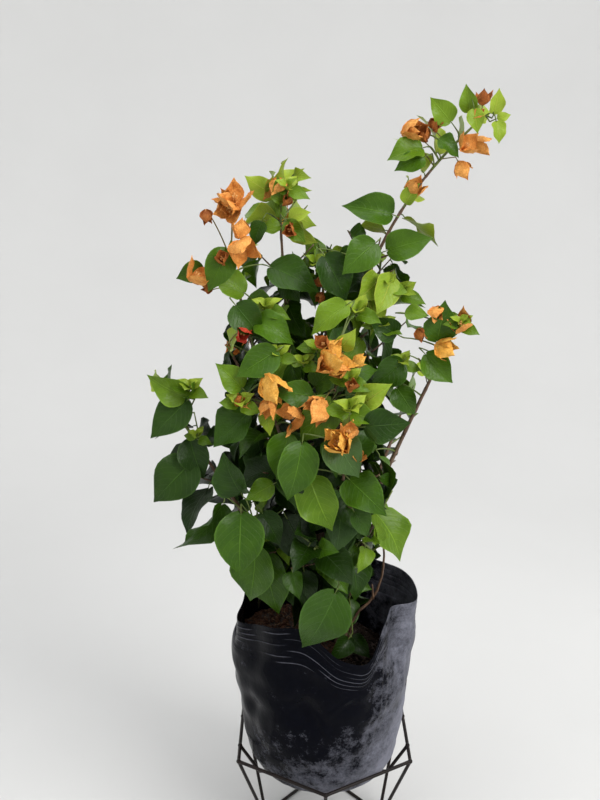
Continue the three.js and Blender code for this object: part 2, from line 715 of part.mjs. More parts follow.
// Each bough is cut clear of the trunk and of the boughs that already stand beside it.
function buildPlant() {
  addPart('trunk', toGeometry(trunkSolid(0)), BARK_BROWN, 0.85, 0);
  let standing = trunkSolid(GAP);
  CANES.forEach((cane, number) => {
    const limb = limbSolid(cane, 0, cane.bare, BOUGH_SIDES, BOUGH_RINGS, 0);
    addPart(`bough_${cane.name}`, toGeometry(largestBody(limb.subtract(standing))), BARK_BROWN, 0.85, 0);
    standing = standing.add(limbSolid(cane, 0, cane.bare, BOUGH_SIDES, BOUGH_RINGS, GAP));
    addPart(`foliage_${cane.name}`, toGeometry(growMass(cane, number)), LEAF_GREEN, 0.55, 0);
  });
}

buildStand();
buildCradle();
buildBag();
buildSoil();
buildPlant();

const extent = new THREE.Box3().setFromObject(plant);
const centre = extent.getCenter(new THREE.Vector3());
plant.position.set(-centre.x, -centre.y, -extent.min.z);
plant.updateMatrixWorld(true);

export default plant;
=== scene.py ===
import math
import bpy
import numpy as np
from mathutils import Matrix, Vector


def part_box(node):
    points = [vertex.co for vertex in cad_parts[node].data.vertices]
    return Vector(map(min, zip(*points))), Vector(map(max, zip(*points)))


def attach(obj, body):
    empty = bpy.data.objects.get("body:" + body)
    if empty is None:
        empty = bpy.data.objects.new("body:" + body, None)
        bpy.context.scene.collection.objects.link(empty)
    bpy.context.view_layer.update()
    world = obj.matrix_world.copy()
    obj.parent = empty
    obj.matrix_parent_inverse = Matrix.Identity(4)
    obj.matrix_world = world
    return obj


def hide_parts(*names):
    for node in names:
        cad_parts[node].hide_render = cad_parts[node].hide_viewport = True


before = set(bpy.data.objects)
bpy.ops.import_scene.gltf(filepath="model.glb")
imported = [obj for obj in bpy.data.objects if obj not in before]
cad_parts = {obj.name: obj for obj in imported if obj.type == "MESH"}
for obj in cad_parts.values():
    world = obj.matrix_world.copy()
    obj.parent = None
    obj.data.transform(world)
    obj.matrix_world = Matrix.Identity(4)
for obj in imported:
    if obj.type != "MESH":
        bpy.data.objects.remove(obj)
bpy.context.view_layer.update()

# Camera. Held by hand in front of the plant at the height of its tallest cane, tilted down. Its
# place is in millimetres from the bag's upright axis at the floor, as the plant's places are.
EYE = np.array([-34, -1187, 1021])
TILT_DOWN = 17
LENS = 42.75

ring_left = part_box("ring_wire_5")
ring_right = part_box("ring_wire_2")
bag_axis = np.array([(ring_left[0].x + ring_right[1].x) / 2, (ring_right[0].y + ring_right[1].y) / 2, 0])

camera_data = bpy.data.cameras.new("camera")
camera_data.sensor_width = 36
camera_data.lens = LENS
camera = bpy.data.objects.new("camera", camera_data)
bpy.context.scene.collection.objects.link(camera)
camera.location = (bag_axis + EYE / 1000).tolist()
camera.rotation_euler = (math.radians(90 - TILT_DOWN), 0, 0)
bpy.context.scene.camera = camera


# Plant stand. Straight lengths of 5 mm steel wire, welded where they meet: a hexagon ring, legs
# that run to four feet, a base on the floor and two cradle wires under the bag. The welds are
# small beads, and the whole is sprayed dark brown with a satin gloss. Its sizes are in metres.
WIRE = 0.0025
RING_RADIUS = 0.138
RING_HEIGHT = 0.153
FOOT_SIDE = 0.090
FOOT_FRONT = 0.100
LEG_SEAT = 0.006
CRADLE_Y = 0.034
CRADLE_HALF = 0.092
CRADLE_HEIGHT = 0.1092
BEAD = 0.0034
FOOT_BEAD = 0.88 * BEAD
LEG_LIFT = 0.0006
WELD_GRAIN = 0.0009


def on_axis(x, y, z):
    return Vector((bag_axis[0] + x, bag_axis[1] + y, z))


def wire_rod(start, end):
    turn = (end - start).to_track_quat("Z", "Y").to_euler()
    bpy.ops.mesh.primitive_cylinder_add(
        vertices=20, radius=WIRE, depth=(end - start).length, location=(start + end) / 2, rotation=turn)
    return bpy.context.object


def weld_bead(place, radius):
    bpy.ops.mesh.primitive_uv_sphere_add(segments=20, ring_count=12, radius=radius, location=place)
    return bpy.context.object


def joined(objects, name):
    bpy.ops.object.select_all(action="DESELECT")
    for part in objects:
        part.select_set(True)
    bpy.context.view_layer.objects.active = objects[0]
    bpy.ops.object.join()
    whole = bpy.context.object
    whole.name = name
    bpy.ops.object.transform_apply(location=True, rotation=True, scale=True)
    return whole


def finish_modifier(target, kind, **settings):
    modifier = target.modifiers.new(kind.lower(), kind)
    for key, value in settings.items():
        setattr(modifier, key, value)
    bpy.context.view_layer.objects.active = target
    bpy.ops.object.modifier_apply(modifier=modifier.name)


class Finish:
    """A material and its nodes. Constant values go on the shader's own sockets."""

    def __init__(self, name, **constants):
        self.material = bpy.data.materials.new(name)
        self.material.use_nodes = True
        self.tree = self.material.node_tree
        self.shader = self.tree.nodes["Principled BSDF"]
        for socket, value in constants.items():
            self.shader.inputs[socket.replace("_", " ")].default_value = value
        self.place = self.node("TexCoord").outputs["Object"]

    def node(self, kind, inputs=(), **settings):
        """An input given as a socket is linked, any other is its value."""
        made = self.tree.nodes.new("ShaderNode" + kind)
        for key, value in settings.items():
            setattr(made, key, value)
        for socket, value in dict(inputs).items():
            if isinstance(value, bpy.types.NodeSocket):
                self.tree.links.new(value, made.inputs[socket])
            else:
                made.inputs[socket].default_value = value
        return made

    def feed(self, socket, value):
        self.tree.links.new(value, self.shader.inputs[socket])

    def axes(self, vector):
        return self.node("SeparateXYZ", {"Vector": vector}).outputs

    def noise(self, scale, detail=4, **more):
        inputs = {"Vector": self.place, "Scale": scale, "Detail": detail, **more}
        return self.node("TexNoise", inputs).outputs["Fac"]

    def maths(self, operation, *values, **settings):
        return self.node("Math", dict(enumerate(values)), operation=operation, **settings).outputs["Value"]

    def between(self, value, low, high, start=0.0, end=1.0):
        inputs = {"Value": value, "From Min": low, "From Max": high, "To Min": start, "To Max": end}
        return self.node("MapRange", inputs).outputs["Result"]

    def blend(self, amount, first, second):
        inputs = {"Factor": amount}
        for socket, tone in (("A", first), ("B", second)):
            inputs[socket] = tone if isinstance(tone, bpy.types.NodeSocket) else (*tone, 1)
        return self.node("Mix", inputs, data_type="RGBA").outputs["Result"]

    def relief(self, height, strength, distance):
        bump = self.node("Bump", {"Height": height, "Strength": strength, "Distance": distance})
        self.feed("Normal", bump.outputs["Normal"])


def mottled(name, tones, scale, grain, depth, stretch=(1, 1, 1), spread=(0.35, 0.65), **constants):
    """A finish whose colour wanders between two tones, with a fine relief."""
    finish = Finish(name, **constants)
    finish.place = finish.node("Mapping", {"Vector": finish.place, "Scale": stretch}).outputs["Vector"]
    finish.feed("Base Color", finish.blend(finish.between(finish.noise(scale), *spread), *tones))
    finish.relief(finish.noise(grain, 6), 0.6, depth)
    return finish


def finished(piece, slot, *finishes):
    piece.data.materials.clear()
    for finish in finishes:
        piece.data.materials.append(finish.material)
    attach(piece, "root")


ring_corners = [
    on_axis(RING_RADIUS * math.cos(math.radians(60 * i - 90)),
            RING_RADIUS * math.sin(math.radians(60 * i - 90)), RING_HEIGHT)
    for i in range(6)
]
feet = [on_axis(0, -FOOT_FRONT, WIRE), on_axis(FOOT_SIDE, 0, WIRE),
        on_axis(0, FOOT_FRONT, WIRE), on_axis(-FOOT_SIDE, 0, WIRE)]
stand_parts = []
for i in range(6):
    stand_parts.append(wire_rod(ring_corners[i], ring_corners[(i + 1) % 6]))
    stand_parts.append(weld_bead(ring_corners[i], BEAD))
for i in range(4):
    stand_parts.append(wire_rod(feet[i], feet[(i + 1) % 4]))
    stand_parts.append(weld_bead(feet[i], WIRE))
for corner, foot, along in ((0, 0, 1), (1, 1, 0), (2, 1, 2), (3, 2, 3), (4, 3, 2), (5, 3, 0)):
    seat = 0 if foot in (0, 2) else LEG_SEAT
    bottom = feet[foot] + (feet[along] - feet[foot]).normalized() * seat
    bottom.z += LEG_LIFT
    stand_parts.append(wire_rod(bottom, ring_corners[corner]))
    stand_parts.append(weld_bead(bottom + Vector((0, 0, LEG_LIFT)), FOOT_BEAD))
ring_side = RING_RADIUS * math.cos(math.radians(30))
for y in (-CRADLE_Y, CRADLE_Y):
    stops = [on_axis(-ring_side, y, RING_HEIGHT), on_axis(-CRADLE_HALF, y, CRADLE_HEIGHT),
             on_axis(CRADLE_HALF, y, CRADLE_HEIGHT), on_axis(ring_side, y, RING_HEIGHT)]
    stand_parts += [wire_rod(start, end) for start, end in zip(stops, stops[1:])]
    stand_parts += [weld_bead(stop, radius) for stop, radius in zip(stops, (BEAD, WIRE, WIRE, BEAD))]
stand = joined(stand_parts, "wire_stand")
finish_modifier(stand, "REMESH", mode="VOXEL", voxel_size=WELD_GRAIN)
finish_modifier(stand, "SMOOTH", factor=0.6, iterations=3)
bpy.ops.object.shade_smooth()
dark_brown = (0.006, 0.004, 0.0035), (0.014, 0.009, 0.0075)
finished(stand, "wire", mottled("sprayed dark brown wire", dark_brown, 90, 900, 0.0003, Roughness=0.42,
                                Specular_IOR_Level=0.2))
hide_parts(*[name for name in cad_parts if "wire" in name or name.startswith("leg_")])


# Grow bag. A tube of thin black polyethylene film, gathered to a round floor and filled so that
# its sides bulge. Above the soil the empty film has slumped at the front right, where one fold
# turns inward, and lies flat at the left. Fine raised lines run round under the rim.
BAG_FLOOR = 112
BAG_RIM = 376
SLUMP_START = 228
MEAN_RADIUS = 120
BAG_RADII = [70, 96, 107, 116, 123, 128, 130]
BAG_HEIGHTS = [112, 120, 146, 196, 256, 318, 376]
FILM = 0.6
BAG_COLUMNS = 300

# Bearings in degrees and heights in millimetres. A fold has its bearing, breadth, depth, and the
# heights that it runs between; the rim has a bearing and a height; a dent has its bearing, height,
# breadth, half height and depth; a crease has its bearing, lean, two heights, breadth and ridge.
WALL_FOLDS = [(-104, 12, 8, 200, 376), (-139, 19, 12, 290, 376), (-36, 10, 17, 270, 376),
              (-50, 14, 5, 130, 330), (-150, 14, 4, 120, 300), (60, 20, 6, 150, 376),
              (130, 16, 5, 120, 330), (172, 22, 13, 320, 376)]
RIM_LINE = [(-180, 353), (-168, 351), (-150, 362), (-131, 378), (-112, 390), (-104, 388), (-94, 374),
            (-84, 352), (-74, 342), (-66, 337), (-61, 347), (-57, 370), (-52, 387), (-44, 394), (-30, 392),
            (-16, 387), (10, 383), (40, 380), (90, 377), (130, 372), (160, 362)]
RIM_SOFTNESS = (-3.5, -1.5, 0, 1.5, 3.5)
RIM_RIDGES = range(368, 320, -8)
RIDGE_HALF, RIDGE_HEIGHT = 1.3, 0.9
DENTS = [(-104, 262, 10, 26, 5), (-114, 286, 7, 12, -1.6), (-95, 250, 5, 18, 2.5), (-147, 244, 10, 30, 3),
         (-86, 228, 8, 26, 3), (-60, 300, 9, 40, 3), (-122, 262, 8, 12, -2), (-2, 260, 34, 90, 3.5),
         (178, 270, 30, 90, -3)]
CREASES = [(-54, 0.03, 206, 330, 1.6, 2.6), (-49.5, 0.02, 216, 318, 1.4, 1.8),
           (-92, -0.26, 216, 272, 1.5, 2.4), (-109, 0.45, 252, 300, 1.6, 2.2),
           (-128, 0.1, 170, 250, 2.2, 1.0), (-82, 0.3, 250, 320, 1.8, 1.4),
           (-67, -0.2, 262, 318, 1.5, 1.4), (12, 0.04, 180, 330, 2.4, 1.6),
           (96, -0.05, 160, 330, 2.2, 1.8), (150, 0.06, 190, 330, 2.0, 1.6),
           (-27, 0.05, 250, 370, 1.8, 1.4)]
CREASE_FADE = 22


def rise(start, end, value):
    t = np.clip((value - start) / (end - start), 0, 1)
    return t * t * (3 - 2 * t)


def bump_at(bearing, centre, width):
    gap = np.abs((bearing - centre + 180) % 360 - 180)
    return np.exp(-((gap / width) ** 2))


def bag_shape(bearing, radius, height):
    """The filled bag's wall in millimetres about its axis: bearing in degrees."""
    share = radius / BAG_RADII[-1]
    out = radius.copy()
    for centre, width, depth, start, end in WALL_FOLDS:
        out -= depth * bump_at(bearing, centre, width) * rise(start, (start + end) / 2, height) * share ** 4
    rim = np.mean([np.interp(bearing + k, *zip(*RIM_LINE), period=360) for k in RIM_SOFTNESS], axis=0)
    return out, height - (BAG_RIM - rim) * rise(SLUMP_START, BAG_RIM, height) * share


def crumple(bearing, height, seed, waves, size, aspect):
    """Soft random dents of about the given size, in step all round."""
    rng = np.random.default_rng(seed)
    total = np.zeros_like(bearing)
    for _ in range(waves):
        round_it = rng.integers(2, max(int(2 * math.pi * MEAN_RADIUS / size), 3))
        lift = rng.normal(0, 2 * math.pi / (size * aspect))
        total += np.sin(np.radians(bearing) * round_it + height * lift + rng.uniform(0, 2 * math.pi))
    return total / math.sqrt(waves)


# The rows of the film: over its floor, round the bottom edge, up the full part, up the empty part.
bag_rows = [(r, BAG_FLOOR) for r in (12, 24, 36, 48, 58, 66)]
bag_rows += [(74, 112.8), (82, 114.6), (89, 117.2), (94, 120.4), (97.6, 124.5)]
wall_heights = [*np.arange(129, 318, 3.5), *np.arange(318, BAG_RIM + 0.1, 1.0)]
bag_rows += [(np.interp(z, BAG_HEIGHTS, BAG_RADII), z) for z in wall_heights]
bearings = np.linspace(-180, 180, BAG_COLUMNS, endpoint=False)
row_radius, row_height = np.array(bag_rows, float).T
bearing, height = np.meshgrid(bearings, row_height)
radius = np.repeat(row_radius[:, None], BAG_COLUMNS, axis=1)
turn = np.radians(bearing)
out, up = bag_shape(bearing, radius, height)

full, loose = rise(118, 150, height), rise(290, 350, height)
out += full * (1 - 0.5 * loose) * 1.5 * crumple(bearing, height, 3, 14, 95, 1.0)
out += full * 0.45 * crumple(bearing, height, 5, 18, 34, 2.5)
out += loose * 0.9 * crumple(bearing, height, 9, 10, 70, 3.0)
rim_lines = np.zeros_like(height)
for line in RIM_RIDGES:
    strength = 0.55 + 0.45 * np.tanh(2 * crumple(bearing, height * 0 + line, line, 6, 60, 1))
    rim_lines += strength * np.clip(1 - np.abs(height - line) / RIDGE_HALF, 0, 1)
out += RIDGE_HEIGHT * rim_lines
gather = np.sin(turn * 23) + 0.6 * np.sin(turn * 41 + 1)
up += 0.5 * gather * (1 - rise(112, 128, height)) * rise(20, 60, radius)
for centre, middle, breadth, tall, depth in DENTS:
    out -= depth * bump_at(bearing, centre, breadth) * np.exp(-(((height - middle) / tall) ** 2))
for centre, lean, low, high, breadth, ridge in CREASES:
    crease = centre + lean * (height - (low + high) / 2)
    reach = rise(low, low + CREASE_FADE, height) * (1 - rise(high - CREASE_FADE, high, height))
    out += ridge * reach * bump_at(bearing, crease, breadth)
wall_points = np.stack([out * np.cos(turn), out * np.sin(turn), up], axis=2).reshape(-1, 3)
bag_points = np.vstack([wall_points, [[0, 0, BAG_FLOOR]]]) / 1000 + bag_axis


def ring_quads(rows, columns):
    row, column = np.meshgrid(np.arange(rows - 1), np.arange(columns), indexing="ij")
    beside = (column + 1) % columns
    quads = [row * columns + column, row * columns + beside, (row + 1) * columns + beside,
             (row + 1) * columns + column]
    return [tuple(q) for q in np.stack(quads, axis=2).reshape(-1, 4).tolist()]


def mesh_piece(name, points, faces, face_materials=None, smooth=True):
    mesh = bpy.data.meshes.new(name)
    mesh.from_pydata(points, [], faces)
    if face_materials is not None:
        mesh.polygons.foreach_set("material_index", np.asarray(face_materials, dtype=np.int32))
    mesh.update()
    piece = bpy.data.objects.new(name, mesh)
    bpy.context.scene.collection.objects.link(piece)
    bpy.ops.object.select_all(action="DESELECT")
    piece.select_set(True)
    bpy.context.view_layer.objects.active = piece
    if smooth:
        bpy.ops.object.shade_smooth()
    return piece


faces = ring_quads(len(bag_rows), BAG_COLUMNS)
faces += [(len(bag_points) - 1, (column + 1) % BAG_COLUMNS, column) for column in range(BAG_COLUMNS)]
grow_bag = mesh_piece("grow_bag_film", bag_points.tolist(), faces)
raised_lines_layer = grow_bag.data.attributes.new("raised_line_mask", "FLOAT", "POINT")
raised_lines_layer.data.foreach_set("value", np.append(rim_lines.ravel(), 0).astype(np.float32))
finish_modifier(grow_bag, "SOLIDIFY", thickness=FILM / 1000, offset=-1)

# Dust has settled low down, more towards the right, in clouds. Further right the film is painted paler,
# partly dust and partly a painted sheen, and the raised lines carry painted highlights.
film = Finish("black film with dust", Specular_IOR_Level=0.035)
axes = film.axes(film.place)
low_down = film.between(axes["Z"], 0.262, 0.150, 0, 0.23)
from_left = film.between(axes["X"], -0.10, 0.03, 0.25, 1)
# Painted sheen mixed with dust: the right wall is painted paler, where it catches the window light.
sheen_and_dust_right = film.between(axes["X"], 0.060, 0.125, 0, 0.29)
clouds = film.noise(38, 12, Roughness=0.82)
dust_and_sheen = film.maths("ADD", film.maths("MULTIPLY_ADD", low_down, from_left, sheen_and_dust_right), clouds)
# Painted highlight: the raised lines are painted pale, patchy with the dust clouds.
line_highlight = film.maths("MULTIPLY", film.node("Attribute", attribute_name="raised_line_mask").outputs["Fac"], clouds)
amount = film.maths("MAXIMUM", film.between(dust_and_sheen, 0.60, 0.94), film.between(line_highlight, 0.16, 0.9))
film.feed("Base Color", film.blend(amount, (0.0020, 0.0024, 0.0046), (0.20, 0.205, 0.25)))
film.feed("Roughness", film.between(amount, 0, 1, 0.24, 0.6))
film.relief(film.noise(110, 5), 0.5, 0.0010)
finished(grow_bag, "bag", film)
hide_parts("grow_bag")


# Potting mix. Coir and bark crumbs, level round the trunk, heaped to the left and fallen away to
# the right, with a loose layer of crumbs and short fibres on top.
SOIL_TOP = 298
SOIL_COLUMNS = 96
SOIL_SHARES = [0.04, 0.1, 0.18, 0.26, 0.34, 0.42, 0.5, 0.58, 0.66, 0.74, 0.82, 0.9, 0.96, 1.0]
WALL_AT_SOIL, EDGE_HEIGHT, EDGE_GAP = 123.5, 285.0, 5
BED_DEPTH, BED_TAPER = 34, 0.88
CRUMBS, FIBRES = 2600, 900


def soil_height(x, y):
    radius = np.hypot(x, y)
    level = np.interp(radius, [0, 50, 86, 119], [298, 298, 296, 290])
    return level - np.where(x > 0, 0.34, 0.2) * x * rise(50, 100, radius)


def soil_edge(bearing):
    bearing = np.asarray(bearing, float)
    out, _ = bag_shape(bearing, np.full(bearing.shape, WALL_AT_SOIL), np.full(bearing.shape, EDGE_HEIGHT))
    return out - EDGE_GAP


soil_rng = np.random.default_rng(21)
bearing, share = np.meshgrid(np.linspace(-180, 180, SOIL_COLUMNS, endpoint=False), SOIL_SHARES)
out = share * soil_edge(bearing)
x, y = out * np.cos(np.radians(bearing)), out * np.sin(np.radians(bearing))
z = soil_height(x, y) + soil_rng.normal(0, 0.9, x.shape)
points = np.stack([x, y, z], axis=2).reshape(-1, 3)
under = points[-SOIL_COLUMNS:] * [BED_TAPER, BED_TAPER, 1] - [0, 0, BED_DEPTH]
points = np.vstack([points, under, [[0, 0, SOIL_TOP], [0, 0, SOIL_TOP - BED_DEPTH - 2]]])
faces = [tuple(reversed(quad)) for quad in ring_quads(len(SOIL_SHARES) + 1, SOIL_COLUMNS)]
last = len(SOIL_SHARES) * SOIL_COLUMNS
for column in range(SOIL_COLUMNS):
    beside = (column + 1) % SOIL_COLUMNS
    faces.append((len(points) - 2, column, beside))
    faces.append((len(points) - 1, last + beside, last + column))
soil_bed = mesh_piece("potting_mix_bed", (points / 1000 + bag_axis).tolist(), faces)

phi = (1 + 5 ** 0.5) / 2
crumb_corners = np.array([(-1, phi, 0), (1, phi, 0), (-1, -phi, 0), (1, -phi, 0), (0, -1, phi),
                          (0, 1, phi), (0, -1, -phi), (0, 1, -phi), (phi, 0, -1), (phi, 0, 1),
                          (-phi, 0, -1), (-phi, 0, 1)])
crumb_corners = crumb_corners / np.linalg.norm(crumb_corners[0])
crumb_faces = np.array([(0, 11, 5), (0, 5, 1), (0, 1, 7), (0, 7, 10), (0, 10, 11), (1, 5, 9), (5, 11, 4),
                        (11, 10, 2), (10, 7, 6), (7, 1, 8), (3, 9, 4), (3, 4, 2), (3, 2, 6), (3, 6, 8),
                        (3, 8, 9), (4, 9, 5), (2, 4, 11), (6, 2, 10), (8, 6, 7), (9, 8, 1)])


def scattered_crumbs(name, count, smallest, largest, stretch, seed):
    rng = np.random.default_rng(seed)
    points, faces = [], []
    for number in range(count):
        bearing = rng.uniform(-180, 180)
        out = soil_edge(bearing) * 0.985 * math.sqrt(rng.uniform(0.0, 1))
        x, y = out * math.cos(math.radians(bearing)), out * math.sin(math.radians(bearing))
        size = rng.uniform(smallest, largest) * rng.uniform(0.6, 1.2, 3)
        size[0] *= stretch
        shape = crumb_corners * rng.uniform(0.8, 1.2, (12, 1)) * size
        spin, tip = rng.uniform(0, 2 * math.pi), rng.normal(0, 0.35)
        c, s = math.cos(spin), math.sin(spin)
        tilt = np.array([[math.cos(tip), 0, math.sin(tip)], [0, 1, 0], [-math.sin(tip), 0, math.cos(tip)]])
        shape = shape @ tilt.T @ np.array([[c, -s, 0], [s, c, 0], [0, 0, 1]]).T
        faces.append(crumb_faces + 12 * number)
        points.append(shape + [x, y, soil_height(x, y) + size[2] * 0.4])
    points = np.vstack(points) / 1000 + bag_axis
    return mesh_piece(name, points.tolist(), np.vstack(faces).tolist(), smooth=False)


def loose_finish(name, tones, scale, depth, rough):
    """The mix keeps its redder brown on the left heap and is painted nearly black towards the right, as
    painted shade.
    """
    finish = mottled(name, tones, scale, 900, depth, Roughness=rough, Specular_IOR_Level=0.15)
    own_brown = finish.shader.inputs["Base Color"].links[0].from_socket
    across = finish.axes(finish.node("TexCoord").outputs["Object"])["X"]
    # Painted shade: the crumbs darken to near black towards the right.
    blackish = finish.between(across, 0.0, 0.055, 0, 0.9)
    finish.feed("Base Color", finish.blend(blackish, own_brown, (0.004, 0.003, 0.002)))
    return finish


soil_crumbs = scattered_crumbs("potting_mix_crumbs", CRUMBS, 1.0, 3.2, 1.2, 31)
soil_fibres = scattered_crumbs("potting_mix_fibres", FIBRES, 0.5, 0.9, 9, 37)
wet_browns = (0.012, 0.007, 0.005), (0.040, 0.022, 0.014)
crumb_browns = (0.022, 0.010, 0.006), (0.11, 0.050, 0.028)
fibre_browns = (0.09, 0.050, 0.026), (0.20, 0.12, 0.065)
finished(soil_bed, "soil", mottled("damp potting mix", wet_browns, 260, 700, 0.002, Roughness=0.9))
finished(soil_crumbs, "soil", loose_finish("coir and bark crumbs", crumb_browns, 130, 0.0008, 0.85))
finished(soil_fibres, "soil", loose_finish("coir fibres", fibre_browns, 80, 0.0004, 0.8))
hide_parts("potting_soil")


# Trunk and boughs. Woody canes that spring from one short leaning stem: grey-brown bark with fine
# lengthwise fissures, paler streaks and a swelling where each old leaf stood.
TRUNK_FOOT_X, TRUNK_TOP_X, TRUNK_TOP, TRUNK_SUNK = 29, 12, 442, 6
TRUNK_SIDES, CANE_SIDES = 22, 14
TIP_RADIUS = 1.3
BARK_STEP = 1.8

# Each cane has its name, its tip's bearing, reach and height, the height where it leaves the trunk,
# how it leans, levels and sways, its woody share, its clusters of bracts and its foot's radius.
NAME, BEARING, WOODY, BLOOMS, THICK = 0, 1, 8, 9, 10
CANES = [
    ("tall_right", -3, 186, 1014, 442, 3.3, 0.12, 6, 0.55, 5, 5.2),
    ("top_left", 191, 136, 912, 424, 0.66, 0.1, 12, 0.62, 4, 4.4),
    ("crown_left", 158, 66, 926, 436, 0.46, 0.05, -12, 0.68, 3, 3.8),
    ("left_high", 197, 172, 812, 402, 0.9, 0.35, -10, 0.62, 3, 3.8),
    ("crown_middle", 96, 40, 846, 420, 0.4, 0, -6, 0.6, 0, 3.8),
    ("crown_right", 26, 78, 836, 432, 0.62, 0, -8, 0.58, 0, 3.8),
    ("right_mid", -14, 168, 772, 414, 0.85, 0.2, 8, 0.52, 4, 4.2),
    ("front_high", -84, 100, 752, 428, 0.62, 0.1, 8, 0.4, 2, 3.8),
    ("front_left", 226, 124, 722, 406, 0.7, 0.2, -8, 0.34, 3, 3.8),
    ("front_mid", -80, 138, 640, 394, 0.8, 0.5, 6, 0.3, 3, 3.8),
    ("left_low", 193, 214, 694, 378, 0.62, 0.1, 10, 0.4, 0, 4.4),
    ("right_low", -24, 128, 610, 384, 0.8, 0.4, -6, 0.3, 0, 3.8),
    ("low_left", 222, 124, 520, 362, 0.9, 0.8, 6, 0.24, 0, 3.4),
    ("low_front", -98, 116, 500, 354, 0.9, 0.9, 4, 0.24, 0, 3.2),
    ("low_right", -46, 104, 486, 350, 0.9, 0.7, 4, 0.3, 0, 3.0),
    ("back_high", 72, 122, 800, 408, 0.68, 0.2, 8, 0.5, 2, 4.0),
    ("back_left", 138, 158, 690, 396, 0.75, 0.3, -8, 0.42, 2, 4.0),
    ("back_right", 36, 156, 672, 388, 0.75, 0.35, 6, 0.42, 1, 4.0),
    ("back_low", 98, 134, 530, 368, 0.85, 0.8, 4, 0.34, 0, 3.4),
]
UP = np.array([0.0, 0.0, 1.0])


def mix(a, b, t):
    return a + (b - a) * t


def unit(v):
    return v / np.linalg.norm(v)


def trunk_point(height):
    t = (height - SOIL_TOP) / (TRUNK_TOP - SOIL_TOP)
    return np.array([mix(TRUNK_FOOT_X, TRUNK_TOP_X, t), 0, height])


def trunk_radius(height):
    t = (height - SOIL_TOP) / (TRUNK_TOP - SOIL_TOP)
    return mix(8.5, 6.2, t) + 4.5 * (1 - t) ** 6


def cane_point(cane, s):
    name, bearing, reach, height, start_height, lean, level, sway, *_ = cane
    angle = math.radians(bearing)
    start = trunk_point(start_height)
    out = s ** lean
    up = s + level * s * (1 - s)
    aside = sway * math.sin(2 * math.pi * s) * (1 - s) * 2
    return np.array([
        start[0] + (reach * math.cos(angle) - start[0]) * out - math.sin(angle) * aside,
        start[1] + (reach * math.sin(angle) - start[1]) * out + math.cos(angle) * aside,
        start[2] + (height - start[2]) * up,
    ])


def cane_frame(cane, s):
    along = unit(cane_point(cane, min(s + 0.004, 1)) - cane_point(cane, max(s - 0.004, 0)))
    angle = math.radians(cane[BEARING])
    over = unit(np.cross([-math.sin(angle), math.cos(angle), 0], along))
    return along, over, np.cross(along, over)


def cane_length(cane, start):
    stops = [cane_point(cane, mix(start, 1, i / 24)) for i in range(25)]
    return sum(np.linalg.norm(b - a) for a, b in zip(stops, stops[1:]))


def wood_radius(cane, s):
    return mix(cane[THICK], TIP_RADIUS, s ** 0.8)


def tube(path, radii, sides, surface=None):
    """A closed limb along a path of points: rings of corners joined by quads, capped both ends."""
    path, radii = np.asarray(path), np.asarray(radii)
    along = np.gradient(path, axis=0)
    along /= np.linalg.norm(along, axis=1, keepdims=True)
    side = np.cross(along, [0.31, 0.17, 0.94] if abs(along[0][2]) < 0.9 else [0.94, 0.31, 0.1])
    side /= np.linalg.norm(side, axis=1, keepdims=True)
    other = np.cross(along, side)
    angles = np.arange(sides) * 2 * math.pi / sides
    reach = radii[:, None] * np.ones(sides)
    if surface is not None:
        reach = reach + surface(np.arange(len(path))[:, None], angles[None, :], radii[:, None])
    rings = (path[:, None, :] + reach[..., None] * (np.cos(angles)[None, :, None] * side[:, None, :]
                                                    + np.sin(angles)[None, :, None] * other[:, None, :]))
    points = np.vstack([rings.reshape(-1, 3), path[:1], path[-1:]])
    start, end, last = len(points) - 2, len(points) - 1, (len(path) - 1) * sides
    caps = [(start, (i + 1) % sides, i) for i in range(sides)]
    caps += [(end, last + i, last + (i + 1) % sides) for i in range(sides)]
    return points, ring_quads(len(path), sides) + caps


class Gathered:
    """Meshes gathered into one, each with its faces numbered on."""

    def __init__(self):
        self.points, self.faces, self.kinds, self.places, self.count = [], [], [], [], 0

    def add(self, points, faces, kinds=None, places=None):
        self.points.append(points)
        self.faces.extend([tuple(corner + self.count for corner in face) for face in faces])
        self.kinds.extend(kinds if kinds is not None else [0] * len(faces))
        if places is not None:
            self.places.append(places)
        self.count += len(points)

    def piece(self, name, sharp=None):
        points = np.vstack(self.points) / 1000 + bag_axis
        made = mesh_piece(name, points.tolist(), self.faces, self.kinds)
        if self.places:
            layer = made.data.attributes.new("leaf_place", "FLOAT_VECTOR", "POINT")
            layer.data.foreach_set("vector", np.vstack(self.places).astype(np.float32).ravel())
        if sharp:
            bpy.ops.object.shade_smooth_by_angle(angle=math.radians(sharp))
        return made


bark_rng = np.random.default_rng(51)


def bark_surface(step, nodes_apart, phase):
    shifts = bark_rng.uniform(0, 2 * math.pi, 8)

    def surface(row, angle, radius):
        along = row * step
        fissure = np.zeros(np.broadcast(row, angle).shape)
        for k, shift in enumerate(shifts):
            wander = 0.6 * np.sin(along * (0.05 + 0.021 * k) + shift)
            fissure += np.sin(angle * (3 + k) + wander + shift) * (0.9 ** k)
        swell = np.exp(-(((along + phase) % nodes_apart - nodes_apart / 2) / 2.6) ** 2)
        one_side = 0.6 + 0.4 * np.cos(angle - 2.4 * np.floor((along + phase) / nodes_apart))
        return radius * (0.045 * fissure + 0.30 * swell * one_side)

    return surface


